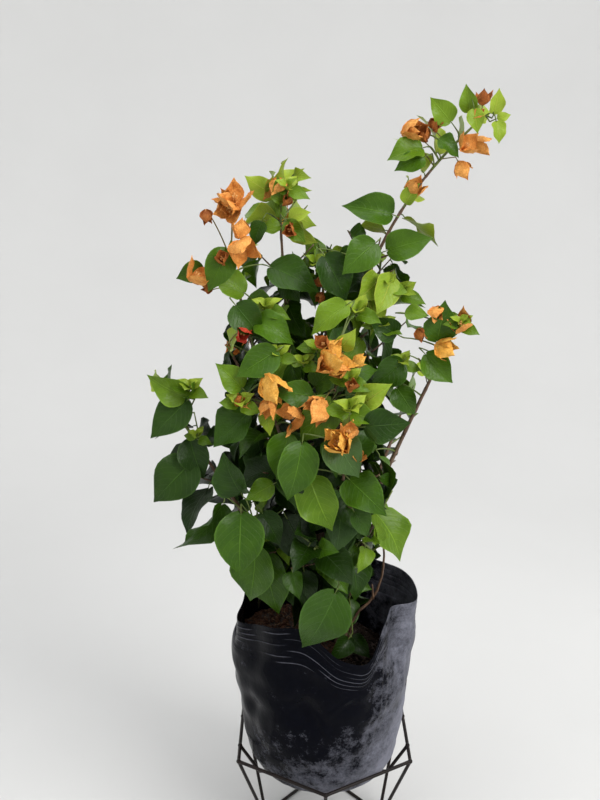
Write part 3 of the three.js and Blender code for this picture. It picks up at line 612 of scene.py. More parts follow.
wood = Gathered()
heights = mix(SOIL_TOP - TRUNK_SUNK, TRUNK_TOP, (np.arange(90) / 89) ** 1.25)
radii = [trunk_radius(max(z, SOIL_TOP)) for z in heights]
wood.add(*tube([trunk_point(z) for z in heights], radii, TRUNK_SIDES, bark_surface(1.6, 46, 11)))
for number, cane in enumerate(CANES):
    count = max(int(cane_length(cane, 0) * cane[WOODY] / BARK_STEP), 12)
    places = np.linspace(0, cane[WOODY], count)
    radii = [wood_radius(cane, s) for s in places]
    wood.add(*tube([cane_point(cane, s) for s in places], radii, CANE_SIDES,
                   bark_surface(BARK_STEP, 29, number * 7)))
limbs = wood.piece("trunk_and_boughs")
grey_browns = (0.070, 0.040, 0.024), (0.22, 0.145, 0.090)
finished(limbs, "bark", mottled("fissured grey-brown bark", grey_browns, 420, 700, 0.0010,
                                stretch=(1, 1, 0.18), spread=(0.3, 0.7), Roughness=0.75))
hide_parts("trunk", *[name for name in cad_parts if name.startswith("bough_")])


# Growth. Each cane carries its leaves alternately at a fixed turn, with side twigs between them
# and bract clusters near its tip. Every mass keeps to its own space: nearer to its own stem than
# to any other, clear of the limbs and of the bag, and clear of the leaves that are named below.
LEAF_LENGTH = 90
LEAF_TURN = 137.5
LEAF_TRIES = [0, 50, -50, 100, -100, 150]
LEAF_SIZES = [1, 0.8, 0.64]
LEAF_APART, FILL_APART = 27, 24
AHEAD_SAMPLES, ACROSS_SAMPLES = [0.2, 0.38, 0.52, 0.66, 0.83, 1], [-1, -0.5, 0, 0.5, 1]
EVEN = np.arange(16) / 15
CROWN_X, CROWN_ROOTS, CROWN_TIPS = -18, 78, 128
MOST_LEAVES, NEAR_LEAF = 4000, 90

# The least gaps from a leaf to the bag, to the limbs and to other leaves: first for the leaves on
# the leafy ends of the canes, then for the finer growth that fills the heart of the crown.
ROOM = {False: (7, 7, 8), True: (5, 3, 6)}

# The crown's outline seen from the camera, on the upright plane through the bag's axis: height,
# left and right, and how far its low left bough reaches. Then the gaps in it, as discs.
LEFT_REACH = -234
CROWN_OUTLINE = np.array([
    (310, -70, 48), (366, -126, 50), (400, -127, 66), (443, -138, 74), (480, -142, 92), (517, -146, 90),
    (560, -150, 92), (600, -146, 106), (650, -136, 120), (690, -140, 132), (705, -134, 156), (725, -130, 180),
    (770, -126, 186), (785, -122, 140), (800, -128, 98), (830, -156, 86), (850, -112, 78), (860, -106, 20),
    (870, -106, -22), (925, -120, -20), (960, -110, -26), (985, -90, -60)])
OPEN_DISCS = [(-62, 862, 20), (-158, 651, 15), (-165, 716, 30), (-209, 591, 15), (83, 897, 12), (73, 939, 14),
              (137, 927, 18), (126, 897, 15), (146, 953, 14), (-175, 760, 36), (100, 430, 22),
              (-168, 420, 40)]

# The leaves that hang outermost at the front: the blade's foot, its tip, its tint and, for some,
# by how many degrees the blade is turned about its midrib.
NAMED_LEAVES = [
    (143, -21, 1008, 119, -29, 1034, "fresh"), (166, -19, 1019, 158, -27, 1048, "fresh"),
    (195, -16, 1017, 199, -23, 1045, "young"), (199, -20, 1011, 213, -24, 1016, "young"),
    (197, -22, 1007, 202, -28, 983, "young"), (169, -30, 1021, 174, -36, 995, "young"),
    (110, -21, 977, 69, -32, 966, "fresh"), (112, -27, 967, 78, -36, 953, "mid"),
    (131, -24, 987, 156, -31, 971, "mid"), (76, -23, 900, 23, -36, 917, "mid"),
    (74, -26, 857, 124, -39, 875, "mid"), (94, -17, 913, 106, -23, 937, "young"),
    (-57, -6, 913, -59, -13, 943, "fresh"), (-46, -11, 894, -22, -17, 903, "young"),
    (-59, -8, 884, -82, -13, 881, "fresh"), (-81, -11, 889, -93, -18, 862, "dark"),
    (-50, -17, 890, -28, -25, 866, "fresh"), (-69, -28, 836, -10, -44, 811, "dark"),
    (-121, -56, 861, -143, -69, 814, "mid"), (-152, -44, 838, -183, -52, 827, "mid"),
    (-103, -42, 808, -140, -52, 835, "fresh"), (-4, -50, 852, 26, -65, 803, "dark"),
    (54, -20, 849, 20, -29, 847, "mid"), (20, -79, 799, -23, -92, 771, "fresh"),
    (-85, -73, 778, -41, -85, 758, "mid"), (-110, -71, 797, -79, -83, 761, "dark"),
    (-63, -99, 748, -109, -113, 721, "mid"), (-104, -98, 704, -131, -108, 735, "fresh"),
    (-98, -90, 668, -141, -103, 631, "dark"), (-21, -110, 697, -66, -121, 706, "mid"),
    (3, -111, 691, -34, -126, 643, "fresh"), (42, -142, 669, 93, -152, 676, "dark"),
    (5, -140, 657, 37, -153, 608, "grey"), (-32, -140, 646, -46, -155, 577, "mid"),
    (39, -114, 686, 70, -124, 716, "young"), (33, -120, 687, 21, -129, 653, "young"),
    (91, -56, 724, 53, -68, 693, "dark"), (122, -49, 731, 155, -60, 698, "mid"),
    (88, -43, 686, 110, -53, 653, "mid"), (94, -59, 786, 121, -65, 785, "fresh"),
    (135, -50, 750, 141, -61, 801, "mid"), (83, -57, 760, 50, -66, 781, "dark"),
    (-176, -54, 680, -220, -66, 706, "fresh"), (-175, -57, 674, -222, -72, 631, "dark"),
    (-173, -51, 621, -157, -63, 570, "dark"), (-172, -56, 593, -223, -72, 542, "dark", 15),
    (-132, -93, 548, -173, -111, 481, "dark", 62), (-106, -113, 575, -127, -125, 628, "dark", 50),
    (-107, -108, 543, -109, -126, 465, "mid"), (-91, -84, 487, -103, -100, 411, "mid"),
    (-78, -69, 468, -67, -88, 387, "mid"), (-50, -83, 526, -18, -99, 470, "deep"),
    (-22, -117, 593, 4, -133, 530, "fresh"), (9, -132, 447, -30, -150, 371, "dark"),
    (19, -66, 511, 14, -77, 462, "grey"), (33, -53, 517, 45, -61, 484, "grey"),
    (28, -31, 415, 63, -39, 403, "mid"), (12, -55, 455, -31, -65, 456, "dark"),
    (65, -43, 516, 103, -59, 456, "fresh", 40), (68, -49, 594, 79, -63, 534, "mid", 60),
    (29, -44, 417, -13, -53, 406, "dark"), (-81, -86, 535, -58, -96, 495, "dark"),
    (-68, -113, 585, -101, -122, 570, "fresh"), (-48, -120, 651, -62, -132, 598, "mid"),
    # The two deep leaves at the end lie low in the bag; their deep tint is painted shade.
    (58, -56, 563, 22, -65, 541, "dark"), (30, -72, 347, 9, -96, 331, "deep"),
    (36, -60, 343, 57, -86, 329, "deep"),
]


def steady_stream(seed):
    state = seed

    def draw():
        nonlocal state
        state = (state + 0x6D2B79F5) & 0xFFFFFFFF
        t = ((state ^ (state >> 15)) * (state | 1)) & 0xFFFFFFFF
        t ^= (t + ((t ^ (t >> 7)) * (t | 61))) & 0xFFFFFFFF
        return (t ^ (t >> 14)) / 4294967296

    return draw


stem_samples = np.array([[cane_point(c, s) for s in mix(c[WOODY], 1, EVEN)] for c in CANES])
limb_samples = [(cane_point(c, s), mix(c[THICK], 2.2, s ** 0.8))
                for c in CANES for s in EVEN * c[WOODY] * 0.95]
limb_samples += [(trunk_point(z), trunk_radius(z)) for z in mix(SOIL_TOP, TRUNK_TOP, EVEN)]
limb_points = np.array([p for p, r in limb_samples])
limb_radii = np.array([r for p, r in limb_samples])


def clear_of_bag(points, room):
    radius = np.hypot(points[:, 0], points[:, 1])
    wall = np.interp(points[:, 2], BAG_HEIGHTS, BAG_RADII)
    inside = (radius < wall - room - 6) & (points[:, 2] > SOIL_TOP + room)
    return bool(np.all((points[:, 2] > BAG_RIM + room) | inside | (radius > wall + room)))


def clear_of_limbs(points, room):
    gaps = np.linalg.norm(points[:, None, :] - limb_points[None], axis=2)
    return bool(np.all(gaps >= limb_radii + room))


def in_own_space(number, points):
    nearest = np.linalg.norm(points[:, None, None, :] - stem_samples[None], axis=3).min(axis=2)
    return bool(np.all(np.delete(nearest, number, axis=1) >= nearest[:, number:number + 1] + 1.2))


def in_outline(name, points):
    seen = EYE + (points - EYE) * (EYE[1] / (EYE[1] - points[:, 1:2]))
    for x, z, radius in OPEN_DISCS:
        if np.any(np.hypot(seen[:, 0] - x, seen[:, 2] - z) < radius):
            return False
    if name == "tall_right":
        return True
    left, right = (np.interp(seen[:, 2], CROWN_OUTLINE[:, 0], CROWN_OUTLINE[:, k]) for k in (1, 2))
    if name == "left_low":
        left = LEFT_REACH
    return bool(np.all(seen[:, 0] <= right) and np.all(seen[:, 0] >= left))


def grown_share(cane):
    """How far along the cane its leafy end goes before it would leave the crown's outline."""
    for s in np.linspace(1, cane[WOODY] + 0.04, 30):
        if in_outline(cane[NAME], cane_point(cane, s)[None]):
            break
    return s


class Crowd:
    """Where the leaves already stand, kept by leaf so that only near ones are measured."""

    def __init__(self):
        self.samples = len(AHEAD_SAMPLES) * len(ACROSS_SAMPLES)
        self.middles, self.count = np.zeros((MOST_LEAVES, 3)), 0
        self.blocks = np.zeros((MOST_LEAVES, self.samples, 3))

    def add(self, points):
        self.middles[self.count] = points.mean(axis=0)
        self.blocks[self.count] = np.resize(points, (self.samples, 3))
        self.count += 1

    def open_at(self, points, room):
        middle = points.mean(axis=0)
        near = np.linalg.norm(self.middles[:self.count] - middle, axis=1) < NEAR_LEAF
        if not near.any():
            return True
        others = self.blocks[:self.count][near].reshape(-1, 3)
        return np.linalg.norm(points[:, None, :] - others[None], axis=2).min() >= room


def square_to(along, facing):
    return unit(facing - along * facing.dot(along))


def outward(frame_here, turn):
    angle = math.radians(turn)
    return frame_here[1] * math.cos(angle) + frame_here[2] * math.sin(angle)


def blade_points(root, along, above, length):
    side = np.cross(above, along)
    points = []
    for share in AHEAD_SAMPLES:
        half = length * 0.66 * (0.26 if share < 0.38 else min(1 - share, 0.5))
        for across in ACROSS_SAMPLES:
            points.append(root + along * share * length + side * across * half
                          - above * 0.1 * length * share * share)
    return np.array(points)


class Mass:
    """One cane's foliage while it grows."""

    def __init__(self, number, crowd):
        self.number, self.crowd, self.random = number, crowd, steady_stream(1000 + 17 * number)
        self.taken, self.blades, self.twigs, self.blooms = [], [], [], []
        self.filling, self.spray, self.grown = False, 0.0, grown_share(CANES[number])
        self.end = cane_point(CANES[number], self.grown)

    def fits(self, points, taken):
        bag_room, limb_room, leaf_room = ROOM[self.filling]
        if not (in_outline(CANES[self.number][NAME], points) and clear_of_bag(points, bag_room)
                and clear_of_limbs(points, limb_room)):
            return False
        if self.filling:
            tip_x, tip_y, _ = points[-3]
            return math.hypot(tip_x - CROWN_X, tip_y) < CROWN_TIPS and self.crowd.open_at(points, leaf_room)
        if not in_own_space(self.number, points):
            return False
        gaps = np.linalg.norm(points[:, None, :] - np.vstack(taken)[None], axis=2) if len(taken) else None
        return (gaps is None or gaps.min() >= leaf_room) and self.crowd.open_at(points, leaf_room)

    def leaf(self, root, frame_here, turn, share, size):
        hang = mix(1.15, 0, share ** 1.5) + (self.random() - 0.5) * 0.5
        tilt = (self.random() - 0.5) * 0.6
        crown_out = unit(np.array([root[0] - TRUNK_TOP_X, root[1], 0]))
        for smaller in LEAF_SIZES:
            for aside in LEAF_TRIES:
                out = outward(frame_here, turn + aside)
                along = unit(out + frame_here[0] * mix(0.15, 0.9, share) - UP * hang)
                facing = UP * 0.4 + out * 0.4 + crown_out * 0.75 + frame_here[2] * tilt
                above = square_to(along, facing)
                points = blade_points(root, along, above, size * smaller)
                if self.fits(points, self.taken):
                    (self.crowd.add if self.filling else self.taken.append)(points)
                    self.blades.append((root, along, above, size * smaller, share, self.spray))
                    return

    def bloom(self, root, frame_here, turn):
        size = mix(0.85, 1.15, self.random())
        mouth, lobe = 20 + 28 * size, 22 * size
        for aside in LEAF_TRIES:
            axis = unit(outward(frame_here, turn + aside) + frame_here[0] * 0.8 + UP * 0.2)
            flat = unit(np.cross(axis, UP))
            rest = np.cross(axis, flat)
            points = [root + axis * 20, root + axis * mouth]
            for spin in range(0, 360, 60):
                angle = math.radians(spin)
                points.append(root + axis * mouth + flat * lobe * math.sin(angle)
                              - rest * lobe * math.cos(angle))
            points = np.array(points)
            if self.fits(points, self.taken):
                self.taken.append(points)
                self.blooms.append((root, axis, size))
                return

    def twig(self, root, frame_here, turn, share, size, length, leaves):
        length *= mix(1.1, 0.6, share) * mix(0.8, 1.15, self.random())
        along = unit(outward(frame_here, turn) + frame_here[0] * 0.6 + UP * 0.3)
        over = unit(np.cross(along, UP))
        for shorter in (1, 0.7, 0.45):
            reach = length * shorter
            if self.fits(root + along * (reach * mix(0.4, 1, EVEN))[:, None], []):
                grown = len(self.blades)
                for k in range(1, leaves + 1):
                    t = min(k / leaves, 0.98)
                    self.leaf(root + along * reach * t, (along, over, np.cross(along, over)),
                              LEAF_TURN * k + turn, share, size * mix(0.95, 0.7, t))
                if len(self.blades) > grown:
                    self.twigs.append((root, along, reach, share))
                return


spray_rng = np.random.default_rng(63)
crowd = Crowd()
for x, y, z, tip_x, tip_y, tip_z, *_ in NAMED_LEAVES:
    foot, tip = np.array([x, y, z]), np.array([tip_x, tip_y, tip_z])
    along = unit(tip - foot)
    facing = np.array([0, -1, 0.4])
    above = square_to(along, facing)
    crowd.add(blade_points(foot - (tip - foot) * 0.18, along, above, np.linalg.norm(tip - foot) * 1.2))
masses = []
for number, cane in enumerate(CANES):
    mass = Mass(number, crowd)
    count = max(round(cane_length(cane, cane[WOODY]) / LEAF_APART), 5)
    for i in range(count):
        share = (i + 0.6) / count
        s = mix(cane[WOODY], mass.grown, share)
        here, root = cane_frame(cane, s), cane_point(cane, s)
        mass.spray = spray_rng.normal(0, 0.11)
        turn = LEAF_TURN * i + 54 * mass.random()
        size = LEAF_LENGTH * mix(0.86, 1.16, mass.random()) * mix(1, 0.5, share ** 2)
        mass.leaf(root, here, turn, share, size)
        if i >= count - cane[BLOOMS]:
            mass.bloom(root, here, turn + 180)
        elif i % 2 == 1:
            mass.twig(root, here, turn + 180, share, size, 66, 3)
    tip_frame = cane_frame(cane, mass.grown)
    mass.spray = 0.1
    mass.leaf(mass.end - tip_frame[0] * 2.2, tip_frame, 90, 1, LEAF_LENGTH * 0.5)
    masses.append(mass)

# The finer growth: short shoots that fill the heart of the crown wherever a leaf finds room.
for mass in masses:
    for points in mass.taken:
        crowd.add(points)
    mass.filling = True
for turn_of_growth in range(3):
    for cane, mass in zip(CANES, masses):
        count = int(cane_length(cane, 0) / FILL_APART)
        for i in range(count):
            s = (i + 0.25 + 0.3 * turn_of_growth) / count
            root = cane_point(cane, s)
            far_out = math.hypot(root[0] - CROWN_X, root[1]) > CROWN_ROOTS
            if far_out or not cane[WOODY] * 0.4 < s < mass.grown:
                continue
            here = cane_frame(cane, s)
            share = max((s - cane[WOODY]) / (1 - cane[WOODY]), 0)
            mass.spray = spray_rng.normal(0, 0.11)
            turn = LEAF_TURN * i + 77 * turn_of_growth
            size = LEAF_LENGTH * mix(0.8, 1.1, mass.random()) * mix(1, 0.55, share ** 2)
            mass.leaf(root, here, turn, share, size)
            mass.twig(root, here, turn + 150, share, size, 62, 3)


# Stems and twigs. The leafy ends of the canes go on from the boughs, brown below and green at
# the tips; side twigs leave them at each second leaf, and one bare shoot bows out at the right.
STEM_SIDES = 8
BARE_SHOOT = [(30, -24, 300), (33, -27, 325), (38, -28, 348), (47, -26, 364), (60, -24, 375),
              (71, -22, 391), (78, -20, 415), (80, -20, 445), (77, -21, 470), (72, -22, 500)]
SHOOT_SPUR = [(66, -24, 381), (64, -25, 404)]
limb_line = np.array([cane_point(cane, s) for cane, mass in zip(CANES, masses)
                      for s in np.linspace(0.12, mass.grown, 70)])


def nearest_limb(place):
    gaps = np.linalg.norm(limb_line - place, axis=1) + 0.7 * np.clip(limb_line[:, 2] - place[2], 0, None)
    return limb_line[np.argmin(gaps)]


def bowed(start, end, lift, count):
    t = np.linspace(0, 1, count)[:, None]
    return start + (end - start) * t + UP * lift * t * (1 - t) * 4


def add_tapered(target, path, thick, thin, sides):
    target.add(*tube(path, np.linspace(thick, thin, len(path)), sides))


brown_stems, green_stems = Gathered(), Gathered()
for cane, mass in zip(CANES, masses):
    length = cane_length(cane, cane[WOODY])
    places = np.linspace(cane[WOODY], mass.grown, max(int(length / 4), 12))
    radii = [wood_radius(cane, mix(cane[WOODY], 1, i / (len(places) - 1))) for i in range(len(places))]
    split = int(len(places) * (0.72 if cane[BLOOMS] else 0.6))
    path = [cane_point(cane, s) for s in places]
    brown_stems.add(*tube(path[:split + 1], radii[:split + 1], STEM_SIDES, bark_surface(4, 27, 5)))
    green_stems.add(*tube(path[split:], radii[split:], STEM_SIDES, bark_surface(4, 27, 5)))
    for root, along, length, share in mass.twigs:
        target = brown_stems if share < 0.35 and length > 40 else green_stems
        add_tapered(target, bowed(root, root + along * length, -0.015 * length, 7), 1.4, 0.8, 6)
shoot = np.array(BARE_SHOOT, float)
stops = np.linspace(0, len(shoot) - 1, 40)
path = np.stack([np.interp(stops, np.arange(len(shoot)), shoot[:, k]) for k in range(3)], axis=1)
brown_stems.add(*tube(path, np.linspace(2.1, 1.3, 40), STEM_SIDES, bark_surface(5, 33, 9)))
add_tapered(brown_stems, bowed(*np.array(SHOOT_SPUR, float), 1, 6), 1.6, 1.1, 7)
stems = brown_stems.piece("leafy_stems")
shoots = green_stems.piece("green_shoots")
young_browns = (0.065, 0.034, 0.019), (0.16, 0.09, 0.05)
shoot_greens = (0.075, 0.11, 0.018), (0.15, 0.19, 0.035)
finished(stems, "bark", mottled("young brown bark", young_browns, 300, 700, 0.0006, stretch=(1, 1, 0.3),
                                Roughness=0.6))
finished(shoots, "leaves", mottled("green shoot skin", shoot_greens, 200, 800, 0.0003, Roughness=0.5))
foliage_nodes = [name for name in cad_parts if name.startswith("foliage_")]
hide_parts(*foliage_nodes)


# Leaves. Broad heart-shaped blades with a drawn-out point on short bowed stalks: dished a little
# along the pale midrib, rolled down at the tip and wavy at the edge, with a painted highlight along
# the margin. Old ones are deep green, the ones near the tips of the canes yellow-green, and all are
# greyer underneath. Part of the tint is painted light: lighter tints higher up and at the right, a
# grey tint as painted sheen on some top faces, and the deep tint as painted shade low in the bag.
BLADE_ROWS = np.array([(0.0, 0.04), (0.02, 0.13), (0.06, 0.22), (0.12, 0.295), (0.20, 0.345), (0.30, 0.372),
                       (0.41, 0.37), (0.52, 0.338), (0.63, 0.28), (0.73, 0.205), (0.82, 0.13), (0.91, 0.055),
                       (1.0, 0.0)])
BLADE_ACROSS = np.array([-1, -0.7, -0.35, 0, 0.35, 0.7, 1])
BLADE_THICK = 0.45
# The grey tint is painted sheen: a greyer green for top faces that catch the room's light.
LEAF_TONES = {
    "deep": ((0.006, 0.019, 0.0012), (0.012, 0.034, 0.0018)),
    "dark": ((0.012, 0.037, 0.0018), (0.028, 0.074, 0.003)),
    "mid": ((0.029, 0.078, 0.003), (0.060, 0.135, 0.005)),
    "fresh": ((0.074, 0.150, 0.006), (0.136, 0.232, 0.012)),
    "young": ((0.180, 0.285, 0.017), (0.300, 0.400, 0.036)),
    "grey": ((0.030, 0.072, 0.014), (0.052, 0.104, 0.024)),
}
TINTS = list(LEAF_TONES)
leaf_rng = np.random.default_rng(77)


def closed_sheet(top, rows, columns, thickness, back):
    """A thin body from a grid that ends in a point: top and underside meet at the rim."""
    tip = (rows - 1) * columns + columns // 2
    inner = [row * columns + column for row in range(rows - 1) for column in range(1, columns - 1)]
    lower = {corner: rows * columns + place for place, corner in enumerate(inner)}
    faces, kinds = [], []
    for row in range(rows - 1):
        for column in range(columns - 1):
            a, b = row * columns + column, row * columns + column + 1
            face = (a, b, b + columns, a + columns) if row < rows - 2 else (a, b, tip)
            faces += [face, tuple(lower.get(corner, corner) for corner in reversed(face))]
            kinds += [0, 1]
    for a in range(columns - 1):
        faces.append((a, *(lower[corner] for corner in (a, a + 1) if corner in lower), a + 1))
        kinds.append(0)
    points = np.vstack([top, top[inner] - back * thickness])
    return points, faces, kinds, inner


def leaf_body(foot, along, above, length, tint):
    side = np.cross(above, along)
    t, half = BLADE_ROWS[:, 0], BLADE_ROWS[:, 1] * leaf_rng.uniform(0.92, 1.10)
    fold, roll = leaf_rng.uniform(0.15, 0.90), leaf_rng.uniform(0.04, 0.40)
    wave, hollow = leaf_rng.uniform(0.08, 0.32), leaf_rng.uniform(0.0, 0.32)
    phase, twist = leaf_rng.uniform(0, 6.3), leaf_rng.normal(0, 0.16)
    sickle = leaf_rng.normal(0, 0.05)
    u = np.repeat(BLADE_ACROSS[None, :], len(t), axis=0)
    across = u * half[:, None]
    ahead = t[:, None] - 0.06 * np.abs(u) * (1 - t[:, None]) ** 3
    lift = fold * np.abs(across) ** 1.35 - roll * np.maximum(ahead, 0) ** 2.4 + hollow * ahead * (1 - ahead)
    ripple = wave * np.abs(u) ** 3 * np.sin(ahead * 10 + phase + u * 1.3) * half[:, None]
    lift += ripple + twist * across * ahead
    points = (foot + along * (ahead * length)[..., None] + above * (lift * length)[..., None]
              + side * ((across + sickle * (ahead * ahead - ahead)) * length)[..., None]).reshape(-1, 3)
    places = np.stack([u, ahead, 0 * ahead + leaf_rng.uniform(0, 1)], axis=2).reshape(-1, 3)
    points, faces, kinds, inner = closed_sheet(points, len(t), len(BLADE_ACROSS), BLADE_THICK, above)
    leaves[tint].add(points, faces, kinds, np.vstack([places, places[inner]]))


def leaf_stalk(start, foot, above):
    middle = (start + foot) / 2 + above * np.linalg.norm(foot - start) * 0.12
    stalks.add(*tube([start, middle, foot], [0.95, 0.75, 0.6], 4))


# Leaves are the younger and lighter the nearer they are to a tip. The higher they hang and the further right,
# the lighter their tint as well, which is painted light.
leaves = {tint: Gathered() for tint in TINTS}
stalks = Gathered()
for cane, mass in zip(CANES, masses):
    for root, along, above, length, share, spray in mass.blades:
        youth_and_light = 0.21 + 0.46 * share ** 2 * (1.0 if cane[BLOOMS] else 0.6)
        # Painted light: higher leaves, and leaves at the right, are dealt lighter tints where the light
        # falls.
        youth_and_light += 0.24 * np.clip((root[2] - 520) / 400, 0, 1)
        youth_and_light += (0.07 if root[0] > 40 else 0) + 1.25 * spray + (0.18 if length < 48 else 0)
        tint = TINTS[int(np.clip((youth_and_light - 0.1) * 6, 0, 4))]
        # Painted sheen: some lower leaves take the grey tint.
        if spray < -0.12 and root[2] < 760:
            tint = "grey"
        foot = root + along * 0.15 * length - above * 0.02 * length
        leaf_body(foot, along, above, length * 0.83, tint)
        leaf_stalk(root, foot, above)
for x, y, z, tip_x, tip_y, tip_z, tint, *turned in NAMED_LEAVES:
    foot, tip = np.array([x, y, z], float), np.array([tip_x, tip_y, tip_z], float)
    along = unit(tip - foot)
    facing = np.array([leaf_rng.uniform(-0.45, 0.45), -1, leaf_rng.uniform(0.15, 0.7)])
    above = square_to(along, facing)
    if turned:
        angle = math.radians(turned[0])
        above = above * math.cos(angle) + np.cross(above, along) * math.sin(angle)
    leaf_body(foot, along, above, np.linalg.norm(tip - foot), tint)
    limb = nearest_limb(foot)
    start = foot - along * min(13, np.linalg.norm(foot - limb) * 0.6) - above * 3
    if np.linalg.norm(start - limb) > 4:
        add_tapered(stalks, bowed(limb, start, 0.06 * np.linalg.norm(start - limb), 7), 1.3, 0.8, 6)
    leaf_stalk(start, foot, above)

# The tufts of half-open young leaves at the ends of short side shoots: place and leaf length.
TUFT_LEAVES = 6
YOUNG_TUFTS = [
    (-15, -8, 840, 20), (73, -36, 820, 20), (34, -66, 792, 24), (65, -52, 772, 20), (-75, -62, 795, 22),
    (-14, -92, 753, 20), (24, -132, 689, 26), (-106, -102, 689, 20), (-170, -62, 695, 20),
    (-163, -60, 632, 14), (161, -54, 774, 18), (89, -32, 808, 24), (92, -50, 725, 18), (-60, -88, 745, 18),
    (-30, -94, 736, 16), (-49, -10, 932, 20), (24, -112, 719, 20),
]
for x, y, z, size in YOUNG_TUFTS:
    end = np.array([x, y, z], float)
    limb = nearest_limb(end - UP * 14)
    add_tapered(stalks, bowed(limb, end, 0.1 * np.linalg.norm(end - limb), 8), 1.3, 0.7, 6)
    for k in range(TUFT_LEAVES):
        angle = math.radians(LEAF_TURN * k + leaf_rng.uniform(-25, 25))
        out = np.array([math.cos(angle), math.sin(angle) * 0.6 - 0.35, 0])
        along = unit(out + UP * mix(-0.1, 1.5, k / TUFT_LEAVES))
        facing = np.array([0, -0.7, 0.6]) - out * 0.25
        above = square_to(along, facing)
        foot = end - UP * mix(7, 0, k / TUFT_LEAVES) + along * 2.5
        leaf_body(foot, along, above, size * mix(1.25, 0.6, k / TUFT_LEAVES), "fresh" if k < 2 else "young")
        leaf_stalk(foot - along * 3, foot, above)


def leaf_finish(name, tones, veins, rough):
    """Midrib and side veins are pale and the margin has a painted highlight, by the place on the blade:
    across, ahead, own tone.
    """
    finish = Finish(name, Roughness=rough, Specular_IOR_Level=0.19)
    axes = finish.axes(finish.node("Attribute", attribute_name="leaf_place").outputs["Vector"])
    across = finish.maths("ABSOLUTE", axes["X"])
    slant = finish.maths("MULTIPLY_ADD", across, -0.19, -0.19)
    raised = finish.maths("MULTIPLY_ADD", across, slant, axes["Y"])
    wave = finish.maths("SINE", finish.maths("MULTIPLY", raised, 48.0))
    side_veins = finish.between(wave, 0.90, 1.0, 0, 0.30)
    vein = finish.maths("MAXIMUM", side_veins, finish.between(across, 0.040, 0.010))
    # Painted highlight: the margin is painted pale like the veins.
    pale = finish.maths("MAXIMUM", vein, finish.between(across, 0.90, 1.0, 0, 0.8))
    clouds = finish.between(finish.noise(60), 0.3, 0.7, -0.25, 0.25)
    tone = finish.blend(finish.maths("ADD", axes["Z"], clouds, use_clamp=True), *tones)
    finish.feed("Base Color", finish.blend(finish.between(pale, 0, 1, 0, 0.5), tone, veins))
    finish.relief(finish.maths("MULTIPLY_ADD", vein, -1.2, finish.noise(260)), 0.7, 0.0009)
    return finish


back_greens = (0.045, 0.088, 0.026), (0.066, 0.118, 0.038)
young_back_greens = (0.105, 0.175, 0.034), (0.150, 0.225, 0.050)
back_of_leaf = leaf_finish("grey-green leaf back", back_greens, (0.11, 0.17, 0.07), 0.6)
back_of_young = leaf_finish("pale young leaf back", young_back_greens, (0.20, 0.28, 0.08), 0.6)
for tint, tones in LEAF_TONES.items():
    piece = leaves[tint].piece("leaves_" + tint, sharp=75)
    # The vein colour also paints the margin's highlight.
    veins = tuple(min(c * 1.9 + 0.02, 0.6) for c in tones[1])
    face = leaf_finish(tint + " leaf", tones, veins, 0.33)
    finished(piece, "leaves", face, back_of_young if tint in ("fresh", "young") else back_of_leaf)
    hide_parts(*foliage_nodes)
stalk_greens = (0.085, 0.13, 0.02), (0.14, 0.19, 0.035)
stalk_piece = stalks.piece("leaf_stalks")
finished(stalk_piece, "leaves", mottled("leaf stalk", stalk_greens, 60, 400, 0.0002, Roughness=0.5))


# Bracts. Each flower sits in a lantern of three broad papery orange bracts, pointed and crinkled
# along their veins, and the lanterns hang singly or two or three together on thin stalks. The
# outermost at the front have their place, size and tint here.
NAMED_LANTERNS = [
    (-111, -46, 925, 31, "orange"), (-119, -46, 907, 29, "orange"), (-145, -41, 899, 18, "russet"),
    (-60, -3, 927, 28, "orange"), (-50, -10, 916, 18, "russet"), (-47, -30, 882, 20, "russet"),
    (-101, -65, 863, 33, "orange"), (-126, -69, 854, 20, "russet"), (-155, -62, 835, 28, "orange"),
    (-147, -44, 814, 16, "russet"), (-64, -120, 711, 36, "amber"), (-72, -120, 684, 25, "orange"),
    (-44, -118, 674, 28, "orange"), (-16, -128, 686, 30, "orange"), (8, -117, 746, 36, "amber"),
    (-4, -117, 738, 26, "orange"), (14, -114, 729, 22, "orange"), (7, -154, 655, 36, "amber"),
    (22, -150, 667, 24, "orange"), (26, -130, 716, 18, "russet"), (131, -60, 785, 22, "orange"),
    (160, -57, 774, 25, "orange"), (145, -56, 739, 30, "amber"), (114, -54, 758, 18, "russet"),
    (100, -18, 998, 30, "orange"), (113, -16, 993, 21, "russet"), (127, -18, 1004, 18, "russet"),
    (172, -26, 1015, 20, "orange"), (166, -20, 982, 24, "orange"), (106, -15, 930, 26, "orange"),
    (-10, -2, 815, 15, "russet"), (-9, -3, 795, 15, "russet"), (-108, -104, 690, 16, "russet"),
    (-97, -101, 680, 17, "orange"), (-102, -83, 766, 24, "red"),
]
BRACT_ROWS = [(0.0, 0.06, 0.03), (0.12, 0.28, 0.15), (0.27, 0.42, 0.27), (0.44, 0.45, 0.36),
              (0.61, 0.37, 0.42), (0.77, 0.23, 0.48), (0.90, 0.09, 0.56), (1.0, 0.0, 0.66)]
BRACT_ACROSS = [-1, -0.5, 0, 0.5, 1]
BRACT_THICK = 0.3
BRACT_TONES = {
    "orange": ((0.66, 0.250, 0.048), (0.90, 0.42, 0.105)),
    "amber": ((0.77, 0.36, 0.050), (0.93, 0.51, 0.105)),
    "russet": ((0.32, 0.090, 0.018), (0.52, 0.18, 0.042)),
    "red": ((0.40, 0.032, 0.016), (0.60, 0.065, 0.028)),
}
BRACT_TINTS = list(BRACT_TONES)
bract_rng = np.random.default_rng(91)
bracts = {tint: Gathered() for tint in BRACT_TINTS}
bloom_stalks, florets = Gathered(), Gathered()


